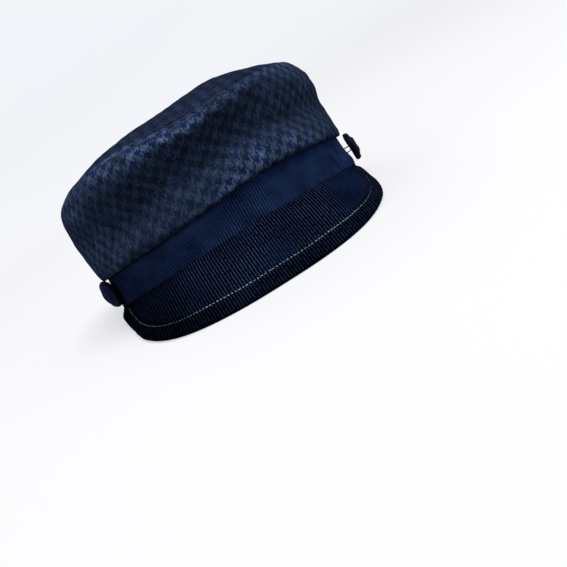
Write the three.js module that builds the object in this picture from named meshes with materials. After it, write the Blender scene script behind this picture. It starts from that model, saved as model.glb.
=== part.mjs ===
// A soft skipper cap: a check wool crown over a needlecord band, a stiff needlecord
// peak, and a covered button on a thread shank at each end of the peak.
// Millimetres, +Z up, z = 0 is the table that the cap rests on. The peak points to -Y and
// +X is on the right of somebody who looks at the front. The back of the rim lies on
// the table, and the stiff peak holds the front of the rim up, resting on its edge.
import * as THREE from "three";
import { mergeVertices } from "three/addons/utils/BufferGeometryUtils.js";

// Head opening. The band is an ellipse in plan, and 573 mm round inside.
const BAND_HALF_WIDTH = 85;
const BAND_HALF_LENGTH = 102;
const BAND_THICKNESS = 2.4;
const BAND_HEIGHT = 27;
const BAND_LEAN_IN = 2;

// The rim is flat on the table behind RIM_FLAT_ANGLE and rises to RIM_LIFT at the front.
const RIM_LIFT = 26.8;
const RIM_FLAT_ANGLE = THREE.MathUtils.degToRad(135);
const RIM_RISE_POWER = 1.46;
const BAND_TUCK_BEHIND_PEAK = 2.5;

// The origin is under the middle of the whole cap, so the head opening lies behind it.
const HEAD_CENTRE = { x: -1.24, y: 19.4 };

// Crown. The wall hangs over the band in a soft fold and ends at the seam with the tip.
const CLOTH_THICKNESS = 2;
const BAND_SHOWING = 20.8;
const BAND_FRONT_HIDDEN = 3.8;
const FOLD_HUMP = { height: 3.5, angle: 0.35, spread: 0.5 };
const SEAM_SIDE_HEIGHT = 81;
const SEAM_FRONT_RISE = 15.6;
const SEAM_FRONT_DIP = { depth: 5.5, spread: 0.35 };
const TIP_TOP = { x: 12, y: -32, z: 100.5 };
const TIP_FLATNESS = 2.35;
const SIDE_SEAM_ANGLE = THREE.MathUtils.degToRad(104);

// Pieces that are sewn to each other keep this much air between them. The wall and the tip
// each stop short of their common seam, at this share of their width.
const SEW_GAP = 0.35;
const WALL_STOP = 0.9958;
const TIP_STOP = 0.997;

// How far the wall stands out from the band's ellipse, from the fold to the tip seam.
const WALL_ROWS = [
  { height: 0.0, front: 1.2, right: 1.0, left: 1.0, back: 1.0 },
  { height: 0.06, front: 3.2, right: 1.5, left: 2.0, back: 2.4 },
  { height: 0.25, front: 1.4, right: 0.9, left: 3.1, back: 4.5 },
  { height: 0.45, front: -2.0, right: 0.5, left: 4.0, back: 5.5 },
  { height: 0.65, front: -1.6, right: 2.6, left: 4.4, back: 5.0 },
  { height: 0.8, front: 1.0, right: 1.6, left: 3.2, back: 3.0 },
  { height: 0.92, front: 2.2, right: -2.4, left: -0.3, back: 0.0 },
  { height: 1.0, front: 1.0, right: -5.9, left: -6.0, back: -5.0 },
];

// Soft dents (-) and swells (+) of the wall: angle from the front, height share, depth.
// The long dent under the front seam runs down to the left.
const WALL_DENTS = [
  { angle: -0.62, height: 0.3, spreadAngle: 0.34, spreadHeight: 0.2, depth: -3.6 },
  { angle: -0.56, height: 0.74, spreadAngle: 0.28, spreadHeight: 0.15, depth: 2.8 },
  { angle: 0.02, height: 0.5, spreadAngle: 0.34, spreadHeight: 0.16, depth: -1.2 },
  { angle: 0.75, height: 0.36, spreadAngle: 0.38, spreadHeight: 0.15, depth: -2.5 },
  { angle: 0.76, height: 0.7, spreadAngle: 0.36, spreadHeight: 0.15, depth: 1.4 },
  { angle: 1.1, height: 0.62, spreadAngle: 0.25, spreadHeight: 0.22, depth: -0.8 },
  { angle: 2.5, height: 0.5, spreadAngle: 0.4, spreadHeight: 0.3, depth: -2.5 },
  { angle: -2.7, height: 0.4, spreadAngle: 0.35, spreadHeight: 0.3, depth: -1.8 },
];

// Soft dips (-) and rises (+) of the tip, in plan.
const TIP_DENTS = [
  { x: -8, y: -45, spread: 26, depth: -2.6 },
  { x: -22, y: -24, spread: 15, depth: 0.9 },
  { x: 4, y: -24, spread: 14, depth: -0.8 },
  { x: 37, y: -36, spread: 22, depth: 1.5 },
  { x: -50, y: -35, spread: 22, depth: 1.2 },
  { x: 5, y: 45, spread: 34, depth: -3.0 },
];

// Peak: a crescent whose edge is a superellipse in plan and rests on the table.
const PEAK_HALF_WIDTH = 83.5;
const PEAK_CENTRE_Y = -23;
const PEAK_REACH = 122.5;
const PEAK_SQUARENESS = 2.6;
const PEAK_END_ANGLE = THREE.MathUtils.degToRad(74);
const PEAK_THICKNESS = 3.4;
const PEAK_BULGE = 2;
const PEAK_EDGE_HEIGHT = 0.64;
const PEAK_END_LIFT = { from: -60, over: 35, height: 5.2 };
const PEAK_UPRIGHT_SEAM = { from: 2, to: 9 };

// Covered buttons. The profile is a lathe section of radius and height over the back.
const BUTTON_PROFILE = [
  { radius: 0, height: 0 },
  { radius: 8.3, height: 0 },
  { radius: 9.0, height: 0.5 },
  { radius: 9.25, height: 1.3 },
  { radius: 9.0, height: 2.3 },
  { radius: 8.2, height: 3.3 },
  { radius: 7.0, height: 3.8 },
  { radius: 5.6, height: 4.7 },
  { radius: 3.6, height: 5.3 },
  { radius: 1.5, height: 5.0 },
  { radius: 0, height: 4.8 },
];
const BUTTON_SIDES = 28;
const SHANK_RADIUS = 1.1;
const SHANK_SIDES = 12;
const SHANK_SEAT = 0.7;
const BUTTONS = [
  { side: "left", angle: -1.31, drop: 7.8, standOff: 1.6, turn: 0.2, lean: 0.06 },
  { side: "right", angle: 1.46, drop: 9.4, standOff: 2.4, turn: -0.09, lean: 0.04 },
];

// Mesh steps.
const AROUND = 72;
const WALL_STEPS = 11;
const TIP_STEPS = 7;
const PEAK_STEPS_ALONG = 64;
const PEAK_ACROSS = [0, 0.15, 0.35, 0.6, 0.82, 0.94, 0.975, 0.993];
const TINY = 1e-3;

const wool = new THREE.MeshStandardMaterial({ color: 0x222a44, roughness: 0.95, metalness: 0 });
const bandCord = new THREE.MeshStandardMaterial({ color: 0x16203f, roughness: 0.9, metalness: 0 });
const peakCord = new THREE.MeshStandardMaterial({ color: 0x0e142c, roughness: 0.9, metalness: 0 });
const buttonCloth = new THREE.MeshStandardMaterial({ color: 0x0c1024, roughness: 0.9, metalness: 0 });
const thread = new THREE.MeshStandardMaterial({ color: 0x2a3148, roughness: 0.8, metalness: 0 });

// A smooth curve through the rows of a table, read at x.
function through(rows, x, key, column) {
  const last = rows.length - 1;
  let i = 0;
  while (i < last - 1 && x > rows[i + 1][key]) i += 1;
  const slope = (k) => {
    const before = rows[Math.max(k - 1, 0)];
    const after = rows[Math.min(k + 1, last)];
    return (after[column] - before[column]) / (after[key] - before[key]);
  };
  const step = rows[i + 1][key] - rows[i][key];
  const t = THREE.MathUtils.clamp((x - rows[i][key]) / step, 0, 1);
  const [t2, t3] = [t * t, t * t * t];
  return (
    (2 * t3 - 3 * t2 + 1) * rows[i][column] +
    (t3 - 2 * t2 + t) * step * slope(i) +
    (-2 * t3 + 3 * t2) * rows[i + 1][column] +
    (t3 - t2) * step * slope(i + 1)
  );
}

const bell = (x) => Math.exp(-x * x);
const turnsApart = (a, b) => Math.atan2(Math.sin(a - b), Math.cos(a - b));
const mix = THREE.MathUtils.lerp;

// A point of the band's ellipse, moved outwards by offset. Angle 0 is the front.
function aroundHead(angle, offset) {
  const [s, c] = [Math.sin(angle), Math.cos(angle)];
  const out = new THREE.Vector2(s / BAND_HALF_WIDTH, -c / BAND_HALF_LENGTH).normalize();
  return new THREE.Vector2(BAND_HALF_WIDTH * s, -BAND_HALF_LENGTH * c).addScaledVector(out, offset);
}

function rimHeight(angle) {
  const flat = Math.cos(RIM_FLAT_ANGLE);
  const share = Math.max(0, (Math.cos(angle) - flat) / (1 - flat));
  return RIM_LIFT * share ** RIM_RISE_POWER;
}

function foldHeight(angle) {
  const hump = FOLD_HUMP.height * bell(turnsApart(angle, FOLD_HUMP.angle) / FOLD_HUMP.spread);
  const hidden = BAND_FRONT_HIDDEN * ((1 + Math.cos(angle)) / 2) ** 2;
  return rimHeight(angle) + BAND_SHOWING - hidden + hump;
}

function seamHeight(angle) {
  const dip = SEAM_FRONT_DIP.depth * bell(turnsApart(angle, 0) / SEAM_FRONT_DIP.spread);
  return SEAM_SIDE_HEIGHT + SEAM_FRONT_RISE * Math.cos(angle) - dip;
}

// The crown wall's outer face: share 0 is the fold, 1 the tip seam.
function wallPoint(angle, share) {
  const [c, s] = [Math.cos(angle), Math.sin(angle)];
  const front = Math.max(c, 0) ** 1.5;
  const back = Math.max(-c, 0) ** 1.5;
  const right = (1 + Math.sign(s) * Math.sqrt(Math.abs(s))) / 2;
  const at = (column) => through(WALL_ROWS, share, "height", column);
  const side = mix(at("left"), at("right"), right);
  let offset = at("front") * front + at("back") * back + side * (1 - front - back);
  for (const d of WALL_DENTS) {
    const near = bell(turnsApart(angle, d.angle) / d.spreadAngle);
    offset += d.depth * near * bell((share - d.height) / d.spreadHeight) * Math.sin(Math.PI * share);
  }
  const plan = aroundHead(angle, offset);
  return new THREE.Vector3(plan.x, plan.y, mix(foldHeight(angle), seamHeight(angle), share));
}

// The tip's outer face: share 0 is the top point, 1 the seam.
function tipPoint(angle, share) {
  const seam = wallPoint(angle, 1);
  const x = mix(TIP_TOP.x, seam.x, share);
  const y = mix(TIP_TOP.y, seam.y, share);
  let z = mix(TIP_TOP.z, seam.z, share ** TIP_FLATNESS);
  const loose = 1 - share ** 4;
  for (const d of TIP_DENTS) z += d.depth * loose * bell(Math.hypot(x - d.x, y - d.y) / d.spread);
  return new THREE.Vector3(x, y, z);
}

// The band's outer face: share 0 is its lower edge, 1 its upper edge under the fold.
function bandPoint(angle, share) {
  const tuck = BAND_TUCK_BEHIND_PEAK * THREE.MathUtils.smoothstep(rimHeight(angle), 0, RIM_LIFT / 3);
  const low = rimHeight(angle) - tuck;
  const plan = aroundHead(angle, -BAND_LEAN_IN * share);
  return new THREE.Vector3(plan.x, plan.y, mix(low, rimHeight(angle) + BAND_HEIGHT, share));
}

// The peak's edge in plan; along runs from -1 at its left end to 1 at its right end.
function peakEdge(along) {
  const [s, c] = [Math.sin((along * Math.PI) / 2), Math.cos((along * Math.PI) / 2)];
  const power = 2 / PEAK_SQUARENESS;
  const x = PEAK_HALF_WIDTH * Math.sign(s) * Math.abs(s) ** power;
  return new THREE.Vector2(x, PEAK_CENTRE_Y - PEAK_REACH * Math.abs(c) ** power);
}

// The middle of the peak's thickness: across 0 is the band, 1 the edge.
function peakMiddle(along, across) {
  const angle = along * PEAK_END_ANGLE;
  const inner = aroundHead(angle, SEW_GAP);
  const edge = peakEdge(along);
  const lift = PEAK_END_LIFT;
  const risen = THREE.MathUtils.smoothstep(edge.y, lift.from, lift.from + lift.over);
  const edgeZ = PEAK_EDGE_HEIGHT + lift.height * risen;
  const innerZ = rimHeight(angle) - PEAK_THICKNESS / 2;
  const bulge = PEAK_BULGE * Math.sin(Math.PI * across) * Math.cos(angle);
  return new THREE.Vector3(
    mix(inner.x, edge.x, across),
    mix(inner.y, edge.y, across),
    mix(innerZ, edgeZ, across) + bulge,
  );
}

// The unit normal of a face given by point(u, v), by small differences.
function normalOf(point, u, v) {
  const [v0, v1] = [Math.max(v - TINY, 0), Math.min(v + TINY, 1)];
  const du = point(u + TINY, v).sub(point(u - TINY, v));
  const dv = point(u, v1).sub(point(u, v0));
  return du.cross(dv).normalize();
}

// A closed solid between two grids of points that face each other. A round grid closes on itself.
function solidBetween(outer, inner, round) {
  const [columns, rows] = [outer.length, outer[0].length];
  const points = [...outer.flat(), ...inner.flat()];
  const faces = [];
  const quad = (a, b, c, d) => faces.push([a, b, c], [a, c, d]);
  const at = (layer, i, j) => layer * columns * rows + (i % columns) * rows + j;
  for (let i = 0; i < (round ? columns : columns - 1); i += 1) {
    for (let j = 0; j < rows - 1; j += 1) {
      quad(at(0, i, j), at(0, i + 1, j), at(0, i + 1, j + 1), at(0, i, j + 1));
      quad(at(1, i, j), at(1, i, j + 1), at(1, i + 1, j + 1), at(1, i + 1, j));
    }
    quad(at(0, i, 0), at(1, i, 0), at(1, i + 1, 0), at(0, i + 1, 0));
    quad(at(0, i, rows - 1), at(0, i + 1, rows - 1), at(1, i + 1, rows - 1), at(1, i, rows - 1));
  }
  if (!round) {
    for (let j = 0; j < rows - 1; j += 1) {
      const end = columns - 1;
      quad(at(0, 0, j), at(0, 0, j + 1), at(1, 0, j + 1), at(1, 0, j));
      quad(at(0, end, j), at(1, end, j), at(1, end, j + 1), at(0, end, j + 1));
    }
  }
  const loose = new THREE.BufferGeometry();
  loose.setAttribute("position", new THREE.Float32BufferAttribute(points.flatMap((p) => p.toArray()), 3));
  loose.setIndex(faces.flat());
  const merged = mergeVertices(loose, TINY);
  const index = merged.index.array;
  const kept = [];
  for (let k = 0; k < index.length; k += 3) {
    const [a, b, c] = [index[k], index[k + 1], index[k + 2]];
    if (a !== b && b !== c && c !== a) kept.push(a, b, c);
  }
  merged.setIndex(kept);
  merged.computeVertexNormals();
  return merged;
}

const steps = (count, from, to) => Array.from({ length: count + 1 }, (_, k) => mix(from, to, k / count));

// Where the wall and the tip meet, both end on one mitre, this far inside the seam.
function mitre(angle) {
  const wallOut = normalOf(wallPoint, angle, 1);
  const tipOut = normalOf(tipPoint, angle, 1).negate();
  return wallOut.clone().add(tipOut).multiplyScalar(CLOTH_THICKNESS / (1 + wallOut.dot(tipOut)));
}

function wallPanel(from, to) {
  const count = Math.round((AROUND * (to - from)) / (2 * Math.PI));
  const shares = steps(WALL_STEPS, 0, WALL_STOP);
  const angles = steps(count, from, to);
  const outer = angles.map((a) => shares.map((s) => wallPoint(a, s)));
  const inner = angles.map((a, i) =>
    shares.map((s, j) => {
      if (s === WALL_STOP) return outer[i][j].clone().sub(mitre(a));
      return outer[i][j].clone().addScaledVector(normalOf(wallPoint, a, s), -CLOTH_THICKNESS);
    }),
  );
  return solidBetween(outer, inner, false);
}

function tipPanel() {
  const shares = steps(TIP_STEPS, 0, TIP_STOP).reverse();
  const angles = steps(AROUND, -Math.PI, Math.PI).slice(0, -1);
  const outer = angles.map((a) => shares.map((s) => tipPoint(a, s)));
  const inner = angles.map((a, i) =>
    shares.map((s, j) => {
      if (s === TIP_STOP) return outer[i][j].clone().sub(mitre(a));
      const inwards = s === 0 ? new THREE.Vector3(0, 0, -1) : normalOf(tipPoint, a, s);
      return outer[i][j].clone().addScaledVector(inwards, CLOTH_THICKNESS);
    }),
  );
  return solidBetween(outer, inner, true);
}

function bandRing() {
  const shares = steps(2, 0, 1);
  const angles = steps(AROUND, -Math.PI, Math.PI).slice(0, -1);
  const outer = angles.map((a) => shares.map((s) => bandPoint(a, s)));
  const inner = angles.map((a, i) =>
    shares.map((s, j) => {
      const plan = aroundHead(a, -BAND_LEAN_IN * s - BAND_THICKNESS);
      return new THREE.Vector3(plan.x, plan.y, outer[i][j].z);
    }),
  );
  return solidBetween(outer, inner, true);
}

// The peak is thickest over most of its width and rounds off to nothing at its edge.
function peakSolid() {
  const half = PEAK_THICKNESS / 2;
  const alongs = steps(PEAK_STEPS_ALONG, -1, 1);
  const across = [...PEAK_ACROSS, 1];
  const thickness = (u, v) => {
    const width = peakMiddle(u, 1).distanceTo(peakMiddle(u, 0));
    const fromEdge = Math.min((1 - v) * width, half) / half;
    return half * Math.sqrt(Math.max(fromEdge * (2 - fromEdge), 0));
  };
  const up = (u, v) => {
    const straight = new THREE.Vector3(0, 0, 1);
    const square = normalOf(peakMiddle, THREE.MathUtils.clamp(u, TINY - 1, 1 - TINY), v);
    const fromBand = v * peakMiddle(u, 1).distanceTo(peakMiddle(u, 0));
    const share = THREE.MathUtils.smoothstep(fromBand, PEAK_UPRIGHT_SEAM.from, PEAK_UPRIGHT_SEAM.to);
    return straight.lerp(square.z < 0 ? square.negate() : square, share).normalize();
  };
  const side = (sign) =>
    alongs.map((u) =>
      across.map((v) => {
        const middle = peakMiddle(u, v);
        return v === 1 ? middle : middle.addScaledVector(up(u, v), sign * thickness(u, v));
      }),
    );
  return solidBetween(side(-1), side(1), false);
}

// Sets a lathe shape on the band, its axis pointing outwards, so far from the band's edge.
// The axis is turned to one side, and its outer end leans down.
function placeOnBand(mesh, button, distance) {
  const plan = aroundHead(button.angle, distance);
  const out = aroundHead(button.angle, 1).sub(aroundHead(button.angle, 0));
  out.rotateAround(new THREE.Vector2(), button.turn);
  mesh.position.set(plan.x, plan.y, foldHeight(button.angle) - button.drop);
  const axis = new THREE.Vector3(out.x, out.y, -Math.tan(button.lean)).normalize();
  mesh.quaternion.setFromUnitVectors(new THREE.Vector3(0, 1, 0), axis);
  return mesh;
}

function coveredButton() {
  const profile = BUTTON_PROFILE.map((p) => new THREE.Vector2(p.radius, p.height));
  return new THREE.LatheGeometry(profile, BUTTON_SIDES);
}

// The band leans in, so its face is SHANK_SEAT inside of its lower edge at the thread.
function threadShank(standOff) {
  const length = standOff - SEW_GAP + SHANK_SEAT - SEW_GAP;
  const post = new THREE.CylinderGeometry(SHANK_RADIUS, SHANK_RADIUS, length, SHANK_SIDES);
  return post.translate(0, -SEW_GAP - length / 2, 0);
}

function named(name, geometry, material) {
  const mesh = new THREE.Mesh(geometry, material);
  mesh.name = name;
  return mesh;
}

const cap = new THREE.Group();
cap.position.set(HEAD_CENTRE.x, HEAD_CENTRE.y, 0);
const seamGap = SEW_GAP / 2 / BAND_HALF_WIDTH;
const frontEdge = SIDE_SEAM_ANGLE - seamGap;
const backEdge = SIDE_SEAM_ANGLE + seamGap;
cap.add(named("crown_tip", tipPanel(), wool));
cap.add(named("crown_wall_front", wallPanel(-frontEdge, frontEdge), wool));
cap.add(named("crown_wall_back", wallPanel(backEdge, 2 * Math.PI - backEdge), wool));
cap.add(named("band", bandRing(), bandCord));
cap.add(named("peak", peakSolid(), peakCord));
for (const button of BUTTONS) {
  const disc = named(`button_${button.side}`, coveredButton(), buttonCloth);
  const shank = named(`button_shank_${button.side}`, threadShank(button.standOff), thread);
  cap.add(placeOnBand(disc, button, button.standOff));
  cap.add(placeOnBand(shank, button, button.standOff));
}

export default cap;
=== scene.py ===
# %% [markdown]
# # A skipper cap in check wool and needlecord
#
# The cap is seven sewn pieces: a round wool tip, a wool wall in two panels, a
# needlecord band, a stiff peak covered with the same needlecord, and a covered button
# on threads at each end of the peak. The peak's edge carries one row of topstitching.
#
# A cap could be draped by cloth simulation, but a worn-in wool crown keeps the folds
# that its maker and its owner pressed into it, and those are known from the photograph.
# So each piece is shaped directly: the imported model gives the place and the size, the seams, wales
# and folds are added to it in mesh code, and the fibres in its materials.
#
# The imported model comes first. Everything here is in metres, in its frame.

import math

import bpy
import numpy as np
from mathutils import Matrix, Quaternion, Vector


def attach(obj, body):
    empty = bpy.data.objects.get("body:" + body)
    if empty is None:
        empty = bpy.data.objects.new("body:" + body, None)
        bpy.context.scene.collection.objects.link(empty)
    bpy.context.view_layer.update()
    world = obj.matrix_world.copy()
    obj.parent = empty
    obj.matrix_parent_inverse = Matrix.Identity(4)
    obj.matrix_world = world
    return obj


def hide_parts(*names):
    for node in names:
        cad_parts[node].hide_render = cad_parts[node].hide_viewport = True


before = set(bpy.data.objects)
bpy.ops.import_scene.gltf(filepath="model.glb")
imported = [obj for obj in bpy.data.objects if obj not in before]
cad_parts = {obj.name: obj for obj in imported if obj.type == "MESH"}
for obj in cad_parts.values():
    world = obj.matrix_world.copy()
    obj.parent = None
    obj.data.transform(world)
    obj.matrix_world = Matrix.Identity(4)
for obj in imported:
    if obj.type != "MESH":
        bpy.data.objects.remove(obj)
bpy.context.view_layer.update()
print("packed pieces:", sorted(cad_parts))

# %% [markdown]
# ## Numbers that the cap is made from
#
# The shapes are worked out in millimetres round the middle of the head opening. Angle 0
# is the front, over the peak, and +x is on the right of somebody who looks at the
# front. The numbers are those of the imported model, so that each piece lands on its own
# solid without any fitting.

# %% Sizes, in millimetres
MM = 0.001
HEAD_CENTRE = np.array([-1.24, 19.4, 0.0])

BAND_HALF_WIDTH, BAND_HALF_LENGTH = 85.0, 102.0
BAND_THICKNESS, BAND_HEIGHT, BAND_LEAN_IN = 2.4, 27.0, 2.0
RIM_LIFT, RIM_FLAT_ANGLE, RIM_RISE_POWER = 26.8, math.radians(135), 1.46
BAND_TUCK_BEHIND_PEAK = 2.5

CLOTH_THICKNESS = 2.0
BAND_SHOWING, BAND_FRONT_HIDDEN = 20.8, 3.8
FOLD_HUMP_HEIGHT, FOLD_HUMP_ANGLE, FOLD_HUMP_SPREAD = 3.5, 0.35, 0.5
SEAM_SIDE_HEIGHT, SEAM_FRONT_RISE = 81.0, 15.6
SEAM_FRONT_DIP, SEAM_DIP_SPREAD = 5.5, 0.35
TIP_TOP, TIP_FLATNESS = np.array([12.0, -32.0, 100.5]), 2.35
SIDE_SEAM_ANGLE = math.radians(104)

# Columns: height share, then how far the wall stands out at the front, right, left, back.
WALL_ROWS = np.array([
    [0.0, 1.2, 1.0, 1.0, 1.0],
    [0.06, 3.2, 1.5, 2.0, 2.4],
    [0.25, 1.4, 0.9, 3.1, 4.5],
    [0.45, -2.0, 0.5, 4.0, 5.5],
    [0.65, -1.6, 2.6, 4.4, 5.0],
    [0.8, 1.0, 1.6, 3.2, 3.0],
    [0.92, 2.2, -2.4, -0.3, 0.0],
    [1.0, 1.0, -5.9, -6.0, -5.0],
])
# Dents (-) and swells (+) of the wall: angle, height share, their spreads, depth.
WALL_DENTS = [
    (-0.62, 0.3, 0.34, 0.2, -3.6),
    (-0.56, 0.74, 0.28, 0.15, 2.8),
    (0.02, 0.5, 0.34, 0.16, -1.2),
    (0.75, 0.36, 0.38, 0.15, -2.5),
    (0.76, 0.7, 0.36, 0.15, 1.4),
    (1.1, 0.62, 0.25, 0.22, -0.8),
    (2.5, 0.5, 0.4, 0.3, -2.5),
    (-2.7, 0.4, 0.35, 0.3, -1.8),
]
# Dips (-) and rises (+) of the tip: x, y, spread, depth.
TIP_DENTS = [
    (-8, -45, 26, -2.6),
    (-22, -24, 15, 0.9),
    (4, -24, 14, -0.8),
    (37, -36, 22, 1.5),
    (-50, -35, 22, 1.2),
    (5, 45, 34, -3.0),
]

PEAK_HALF_WIDTH, PEAK_CENTRE_Y, PEAK_REACH = 83.5, -23.0, 122.5
PEAK_SQUARENESS, PEAK_END_ANGLE = 2.6, math.radians(74)
PEAK_THICKNESS, PEAK_BULGE, PEAK_SEW_GAP = 3.4, 2.0, 0.35
PEAK_EDGE_HEIGHT, PEAK_END_LIFT = 0.64, 5.2

# Side: angle round the band, drop under the fold, stand-off from the band, turn and lean.
BUTTONS = {"left": (-1.31, 7.8, 1.6, 0.2, 0.06), "right": (1.46, 9.4, 2.9, -0.09, -0.06)}
print("the band is an ellipse of", 2 * BAND_HALF_WIDTH, "by", 2 * BAND_HALF_LENGTH, "mm outside")

# %% [markdown]
# ## Curves that several pieces share
#
# The rim is an ellipse that lies on the table at the back and rises to the front. The
# wall, the band and the peak all follow it, so the rim, the fold over the band and the
# tip seam are written once, as functions of the angle.

# %% The rim, the fold and the tip seam
def mix(a, b, share):
    return a + (b - a) * share


def smooth(x, low, high):
    """0 below low, 1 above high, and a soft rise between them."""
    t = np.clip((x - low) / (high - low), 0, 1)
    return t * t * (3 - 2 * t)


def bell(x):
    return np.exp(-x * x)


def turns_apart(a, b):
    return np.arctan2(np.sin(a - b), np.cos(a - b))


def unit(vectors):
    return vectors / np.maximum(np.linalg.norm(vectors, axis=-1, keepdims=True), 1e-12)


def around_head(angle, offset):
    """A point of the band's ellipse in plan, moved outwards by offset."""
    s, c = np.sin(angle), np.cos(angle)
    out = unit(np.stack([s / BAND_HALF_WIDTH, -c / BAND_HALF_LENGTH], -1))
    on = np.stack([BAND_HALF_WIDTH * s, -BAND_HALF_LENGTH * c], -1)
    return on + out * np.asarray(offset)[..., None]


def rim_height(angle):
    flat = math.cos(RIM_FLAT_ANGLE)
    return RIM_LIFT * np.maximum(0, (np.cos(angle) - flat) / (1 - flat)) ** RIM_RISE_POWER


def fold_height(angle):
    hump = FOLD_HUMP_HEIGHT * bell(turns_apart(angle, FOLD_HUMP_ANGLE) / FOLD_HUMP_SPREAD)
    hidden = BAND_FRONT_HIDDEN * ((1 + np.cos(angle)) / 2) ** 2
    return rim_height(angle) + BAND_SHOWING - hidden + hump


def seam_height(angle):
    dip = SEAM_FRONT_DIP * bell(turns_apart(angle, 0) / SEAM_DIP_SPREAD)
    return SEAM_SIDE_HEIGHT + SEAM_FRONT_RISE * np.cos(angle) - dip


def even_angles(count, start, end, closed=False):
    """Angles that cut the band's ellipse into steps of one length."""
    fine = np.linspace(start, end, 4001)
    plan = around_head(fine, np.zeros_like(fine))
    run = np.append(0, np.cumsum(np.linalg.norm(np.diff(plan, axis=0), axis=1)))
    share = np.linspace(0, 1, count + 1)[: count if closed else count + 1]
    return np.interp(share * run[-1], run, fine), run[-1]


rim_round = even_angles(8, -math.pi, math.pi)[1]
print(f"the band measures {rim_round:.1f} mm round its outside")

# %% [markdown]
# ## Surfaces of the crown, the band and the peak
#
# Each is a function from two numbers to a point. The wall is lofted through a table of
# stand-offs, read with a smooth curve, and then dented. The tip runs from its highest
# point to the seam. The peak is a crescent between the band and a superellipse, which
# is the squarish curve that a cut peak board has.

# %% The wall and the tip as surfaces
def through(table, at, column):
    """A smooth curve through one column of a table, read at a height share."""
    knots, values = table[:, 0], table[:, column]
    before, after = np.roll(np.arange(len(knots)), 1), np.roll(np.arange(len(knots)), -1)
    before[0], after[-1] = 0, len(knots) - 1
    slopes = (values[after] - values[before]) / (knots[after] - knots[before])
    i = np.clip(np.searchsorted(knots, at) - 1, 0, len(knots) - 2)
    step = knots[i + 1] - knots[i]
    t = np.clip((at - knots[i]) / step, 0, 1)
    t2, t3 = t * t, t ** 3
    return (
        (2 * t3 - 3 * t2 + 1) * values[i]
        + (t3 - 2 * t2 + t) * step * slopes[i]
        + (3 * t2 - 2 * t3) * values[i + 1]
        + (t3 - t2) * step * slopes[i + 1]
    )


def spots(table, angle, share):
    """The sum of soft round spots. Columns: angle, height share, their spreads, amount."""
    total = 0.0
    for at_angle, at_height, wide, tall, amount in table:
        near = bell(turns_apart(angle, at_angle) / wide) * bell((share - at_height) / tall)
        total = total + amount * near
    return total


def wall_point(angle, share):
    """The crown wall's outer face: share 0 is the fold, 1 the tip seam."""
    angle, share = np.broadcast_arrays(angle, share)
    c, s = np.cos(angle), np.sin(angle)
    front, back = np.maximum(c, 0) ** 1.5, np.maximum(-c, 0) ** 1.5
    right = (1 + np.sign(s) * np.sqrt(np.abs(s))) / 2
    at = [through(WALL_ROWS, share, column) for column in range(1, 5)]
    offset = at[0] * front + at[3] * back + mix(at[2], at[1], right) * (1 - front - back)
    offset = offset + spots(WALL_DENTS, angle, share) * np.sin(np.pi * share)
    height = mix(fold_height(angle), seam_height(angle), share)
    return np.concatenate([around_head(angle, offset), height[..., None]], -1)


def tip_point(angle, share):
    """The tip's outer face: share 0 is its highest point, 1 the seam."""
    angle, share = np.broadcast_arrays(angle, share)
    seam = wall_point(angle, np.ones_like(share))
    plan = mix(TIP_TOP[:2], seam[..., :2], share[..., None])
    height = mix(TIP_TOP[2], seam[..., 2], share ** TIP_FLATNESS)
    for x, y, spread, depth in TIP_DENTS:
        away = np.hypot(plan[..., 0] - x, plan[..., 1] - y)
        height = height + depth * (1 - share ** 4) * bell(away / spread)
    return np.concatenate([plan, height[..., None]], -1)


print("the crown stands", round(float(tip_point(0.0, 0.0)[2]), 1), "mm high at its top")

# %% The band and the peak as surfaces
def band_point(angle, share, inwards=0.0):
    """The band's outer face: share 0 is its lower edge, 1 its upper edge under the fold."""
    angle, share = np.broadcast_arrays(angle, share)
    rim = rim_height(angle)
    low = rim - BAND_TUCK_BEHIND_PEAK * smooth(rim, 0, RIM_LIFT / 3)
    plan = around_head(angle, -BAND_LEAN_IN * share - inwards)
    return np.concatenate([plan, mix(low, rim + BAND_HEIGHT, share)[..., None]], -1)


def peak_edge(along):
    """The peak's edge in plan, from -1 at its left end to 1 at its right end."""
    s, c = np.sin(along * np.pi / 2), np.cos(along * np.pi / 2)
    power = 2 / PEAK_SQUARENESS
    x = PEAK_HALF_WIDTH * np.sign(s) * np.abs(s) ** power
    return np.stack([x, PEAK_CENTRE_Y - PEAK_REACH * np.abs(c) ** power], -1)


def peak_middle(along, across):
    """The middle of the peak's thickness: across 0 is the band, 1 the edge."""
    along, across = np.broadcast_arrays(along, across)
    angle = along * PEAK_END_ANGLE
    edge = peak_edge(along)
    plan = mix(around_head(angle, np.full(angle.shape, PEAK_SEW_GAP)), edge, across[..., None])
    edge_z = PEAK_EDGE_HEIGHT + PEAK_END_LIFT * smooth(edge[..., 1], -60, -25)
    inner_z = rim_height(angle) - PEAK_THICKNESS / 2
    bulge = PEAK_BULGE * np.sin(np.pi * across) * np.cos(angle)
    return np.concatenate([plan, (mix(inner_z, edge_z, across) + bulge)[..., None]], -1)


def square_to(point, u, v, step=1e-3):
    """The unit normal of a surface, by small differences."""
    low, high = np.maximum(v - step, 0), np.minimum(v + step, 1)
    along = point(u + step, v) - point(u - step, v)
    return unit(np.cross(along, point(u, high) - point(u, low)))


peak_front = peak_edge(0.0)[1]
print("the peak reaches", round(-BAND_HALF_LENGTH - peak_front), "mm out from the band")

# %% [markdown]
# ## Softness, and turning points into meshes
#
# Cloth is never as even as a formula. A sum of a few waves in seeded random directions
# gives gentle bumps of a chosen size, the same in every run, and it closes on itself
# round the cap because it is read at points in space.
#
# Every piece is a shell with real thickness, not a bare sheet. Its cloth coordinates, in
# millimetres or in wales, are kept in a UV map, so the check and the cord follow the
# cloth round its folds instead of being projected through it.

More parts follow.
